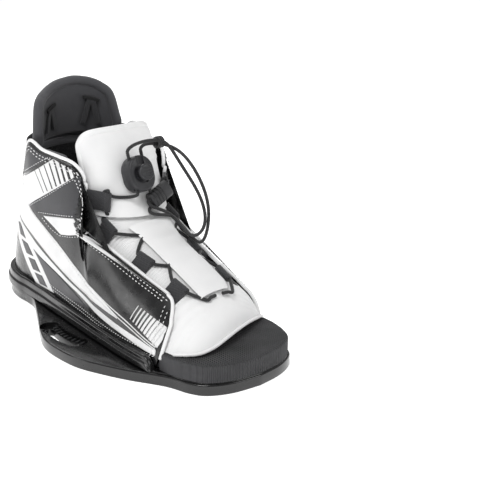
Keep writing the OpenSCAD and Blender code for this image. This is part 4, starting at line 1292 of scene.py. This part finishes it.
def lace_loop(i, side, word, node_side):
    """A webbing tab folded round the lace, stitched across behind its eye."""
    bore, reach, eye = loop_bore(i), loop_reach(i), EYES[i]
    up = bore.cross(reach)
    tail_len = (eye - loop_base(i)).length + 5
    outline = [(-tail_len, -1.1), (-tail_len, 1.1), (-5.0, 1.3), (-3.2, 1.8)]
    for k in range(17):
        a = math.radians(mix(140, -140, k / 16))
        outline.append((LOOP_R * math.cos(a), LOOP_R * math.sin(a)))
    outline += [(-3.2, -1.8), (-5.0, -1.3)]
    bm = bmesh.new()
    uv = bm.loops.layers.uv.new("UVMap")
    face = bm.faces.new([bm.verts.new((x, y, -LOOP_W / 2)) for x, y in outline])
    made = bmesh.ops.extrude_face_region(bm, geom=[face])
    bmesh.ops.translate(bm, vec=(0, 0, LOOP_W), verts=[g for g in made["geom"]
                                                       if isinstance(g, bmesh.types.BMVert)])
    bmesh.ops.recalc_face_normals(bm, faces=bm.faces)
    rims = [e for e in bm.edges if abs(e.verts[0].co.z - e.verts[1].co.z) < 1e-6]
    bmesh.ops.bevel(bm, geom=rims, offset=0.45, segments=2, profile=0.5, affect="EDGES", material=-1,
                    clamp_overlap=True)
    for f in bm.faces:
        for loop in f.loops:
            loop[uv].uv = (loop.vert.co.x + loop.vert.co.y * 0.5, loop.vert.co.z)
    frame_ = Matrix((reach, up, bore)).transposed().to_4x4()
    frame_.translation = eye
    bmesh.ops.transform(bm, matrix=frame_, verts=bm.verts)
    if side < 0:
        bmesh.ops.scale(bm, vec=(-1, 1, 1), verts=bm.verts)
        bmesh.ops.reverse_faces(bm, faces=bm.faces)
    crisp(new_piece(f"lace_tab_{word}_{i + 1}", bm, WEBBING, slot="webbing",
                    replaced=[f"lace_loop_{node_side}_{i + 1}"]), 50)
    line = [flip(eye - reach * 5.6 + up * 1.35 + bore * mix(-6.5, 6.5, k / 8), side) for k in range(9)]
    out = flip(up, side)
    stitches(f"tab_stitching_{word}_{i + 1}", [(line, lambda p: out)], THREAD, length=1.2, pitch=1.9,
             r=0.25, slot="webbing")


for side_, word_, node_side_ in SIDES:
    for i_ in range(4):
        lace_loop(i_, side_, word_, node_side_)


CROSS_ROWS = [5.3, 3.65, 1.5, -0.25]


def across(row, side, start):
    """Where a lace passes under the keeper, from the start side of the middle to the other."""
    return [flip(cover_point(row + side * 0.09, a * start, -LACE_R - 0.3), side) for a in CROSS_ANGLES]


def through(i, side):
    return [flip(EYES[i] + loop_bore(i) * LOOP_W * k, side) for k in (-0.62, -0.4, 0, 0.4, 0.62)]


def lace_run(side, word, node_side):
    path = [lock_place(side, up) for up in (LOCK_EXIT, 8, 0, -8, -LOCK_LEN / 2 - 1)]
    path += [flip(tongue_point(j, t, -LACE_R - 0.6), side) for j,
             t in ((1.75, 0.24), (1.85, 0.42), (2.15, 0.56))]
    path += through(0, side) + across(CROSS_ROWS[0], side, 1) + through(1, -side) + across(CROSS_ROWS[1],
                                                                                           side, -1)
    path += through(2, side) + across(CROSS_ROWS[2], side, 1) + through(3, -side)
    path += [flip(cover_point(CROSS_ROWS[3], a, -LACE_R - 0.3), side) for a in (-11, -6, -0.6)]
    new_piece(f"lace_crossing_{word}", tube_mesh(dense(path, 5), LACE_R, sides=12), LACE, slot="lace",
              replaced=[f"lace_run_{node_side}"])


for side_, word_, node_side_ in SIDES:
    lace_run(side_, word_, node_side_)


def placed(bm, origin, turn):
    bmesh.ops.transform(bm, matrix=Matrix.Translation(origin) @ turn.to_4x4(), verts=bm.verts)
    return bm


LOCK_TURN = Matrix.Rotation(LOCK_TILT, 3, "X")
GRIP_TURN = Matrix.Rotation(GRIP_TILT, 3, "Y")


def oval_outline(w, length, steps=24):
    """A stadium, width along X and length along Y."""
    points = []
    for k in range(steps):
        a = 2 * math.pi * (k + 0.5) / steps
        points.append((w / 2 * math.cos(a), math.copysign((length - w) / 2,
                                                          math.sin(a)) + w / 2 * math.sin(a)))
    return points


def lock():
    """The lace lock: an oval body with a raised thumb ring, a groove for the laces and a sprung button."""
    body = slab(oval_outline(LOCK_W, LOCK_LEN, 40), -LOCK_DEPTH / 2, LOCK_DEPTH / 2, 2.2, 1.2)
    o = new_piece("lock_shell", placed(body, LOCK_POS, LOCK_TURN), LOCK_NYLON, body="lace_lock",
                  slot="lock_plastic",
                  replaced=["lock_body"])
    cutters = []
    ring = bmesh.new()
    bmesh.ops.create_cone(ring, cap_ends=True, segments=40, radius1=8.2, radius2=8.2, depth=5)
    cutters.append(placed(ring, LOCK_POS + LOCK_TURN @ Vector((0, 0, LOCK_DEPTH / 2 + 0.6)), LOCK_TURN))
    groove = bmesh.new()
    bmesh.ops.create_cone(groove, cap_ends=True, segments=24, radius1=3.4, radius2=3.4, depth=12)
    cutters.append(placed(groove, LOCK_POS + LOCK_TURN @ Vector((0, LOCK_LEN / 2 - 1.5, LOCK_DEPTH / 2)),
                          LOCK_TURN @ Matrix.Rotation(math.pi / 2, 3, "X")))
    for side in (-1, 1):
        hole = bmesh.new()
        bmesh.ops.create_cone(hole, cap_ends=True, segments=20, radius1=1.75, radius2=1.75,
                              depth=LOCK_LEN + 6)
        cutters.append(placed(hole, lock_place(side, 0), LOCK_TURN @ Matrix.Rotation(math.pi / 2, 3, "X")))
    cut(o, cutters)
    crisp(o, 40)
    cap = slab([(6.9 * math.cos(2 * math.pi * k / 40), 6.9 * math.sin(2 * math.pi * k / 40))
                for k in range(40)], 0, 3.2, 1.2, 0.3)
    bars = [placed(cap, LOCK_POS + LOCK_TURN @ Vector((0, 0, LOCK_DEPTH / 2 + 3.4)), LOCK_TURN)]
    for k in range(-2, 3):
        rib = bmesh.new()
        bmesh.ops.create_cube(rib, size=1.0)
        bmesh.ops.scale(rib, vec=(2 * math.sqrt(5.6 ** 2 - (k * 2.0) ** 2), 0.8, 0.9), verts=rib.verts)
        bmesh.ops.bevel(rib, geom=rib.edges, offset=0.25, segments=2, profile=0.5, affect="EDGES",
                        material=-1)
        bars.append(placed(rib, LOCK_POS + LOCK_TURN @ Vector((0, k * 2.0, LOCK_DEPTH / 2 + 6.6)),
                           LOCK_TURN))
    stem = bmesh.new()
    bmesh.ops.create_cone(stem, cap_ends=True, segments=32, radius1=4.5, radius2=4.5, depth=12)
    bars.append(placed(stem, LOCK_POS + LOCK_TURN @ Vector((0, 0, LOCK_DEPTH / 2 - 1.6)), LOCK_TURN))
    crisp(new_piece("lock_button", join_meshes(bars), LOCK_NYLON, body="lock_plunger", slot="lock_plastic",
                    replaced=["lock_plunger"]), 45)


lock()


def knot():
    """An overhand knot drawn tight: the lace wound round both ends."""
    turn = Matrix.Rotation(math.radians(90), 3, "Y") @ Matrix.Rotation(math.radians(-19), 3, "Z")
    path = []
    for k in range(76):
        a = math.radians(k * 14.4)
        path.append(KNOT_POS + turn @ Vector((3.6 * math.cos(a), 3.6 * math.sin(a),
                                              mix(-2.7, 2.7, k / 75))))
    new_piece("tail_knot_turns", tube_mesh(path, 1.35, sides=12), LACE, slot="lace", replaced=["tail_knot"])


knot()


def grip():
    """A ribbed rubber barrel over the lace ends, open at its outer end."""
    ribs = [(-10, 0.0), (-9.7, 0.9), (-9, 1.0)]
    for k in range(4):
        z = -8.0 + k * 3.0
        ribs += [(z, 1.0), (z + 0.3, 0.92), (z + 1.1, 0.92), (z + 1.4, 1.0)]
    ribs += [(4.5, 1.0), (9.2, 1.02), (10, 0.98), (10, 0.86), (9.4, 0.78), (2, 0.74), (1.6, 0.0)]
    bm = bmesh.new()
    rings = []
    for z, k in ribs:
        ring = []
        for x, y in oval_outline(GRIP_DEPTH, GRIP_W, 36):
            ring.append(bm.verts.new((y * k, x * k, z)))
        rings.append(ring)
    for low, high in zip(rings, rings[1:]):
        for k in range(len(low)):
            n = (k + 1) % len(low)
            bm.faces.new((low[k], low[n], high[n], high[k]))
    bmesh.ops.remove_doubles(bm, verts=bm.verts, dist=0.001)
    bmesh.ops.recalc_face_normals(bm, faces=bm.faces)
    o = new_piece("grip_barrel", placed(bm, GRIP_POS, GRIP_TURN), GRIP_RUBBER, slot="grip_rubber",
                  replaced=["cord_grip"])
    crisp(o, 50)


grip()

# ---------- CAD nodes that stay, with their finishes ----------

# The plug inside the grip takes the near-black nylon, as painted shade in the grip's hollow
for node_, material_ in (("clamp_frame", CLAMP_METAL), ("clamp_screws", STEEL), ("lock_spring", STEEL),
                         ("cord_grip_plug", PAINTED_SHADE_NYLON)):
    data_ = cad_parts[node_].data
    data_.materials.clear()
    data_.materials.append(material_)
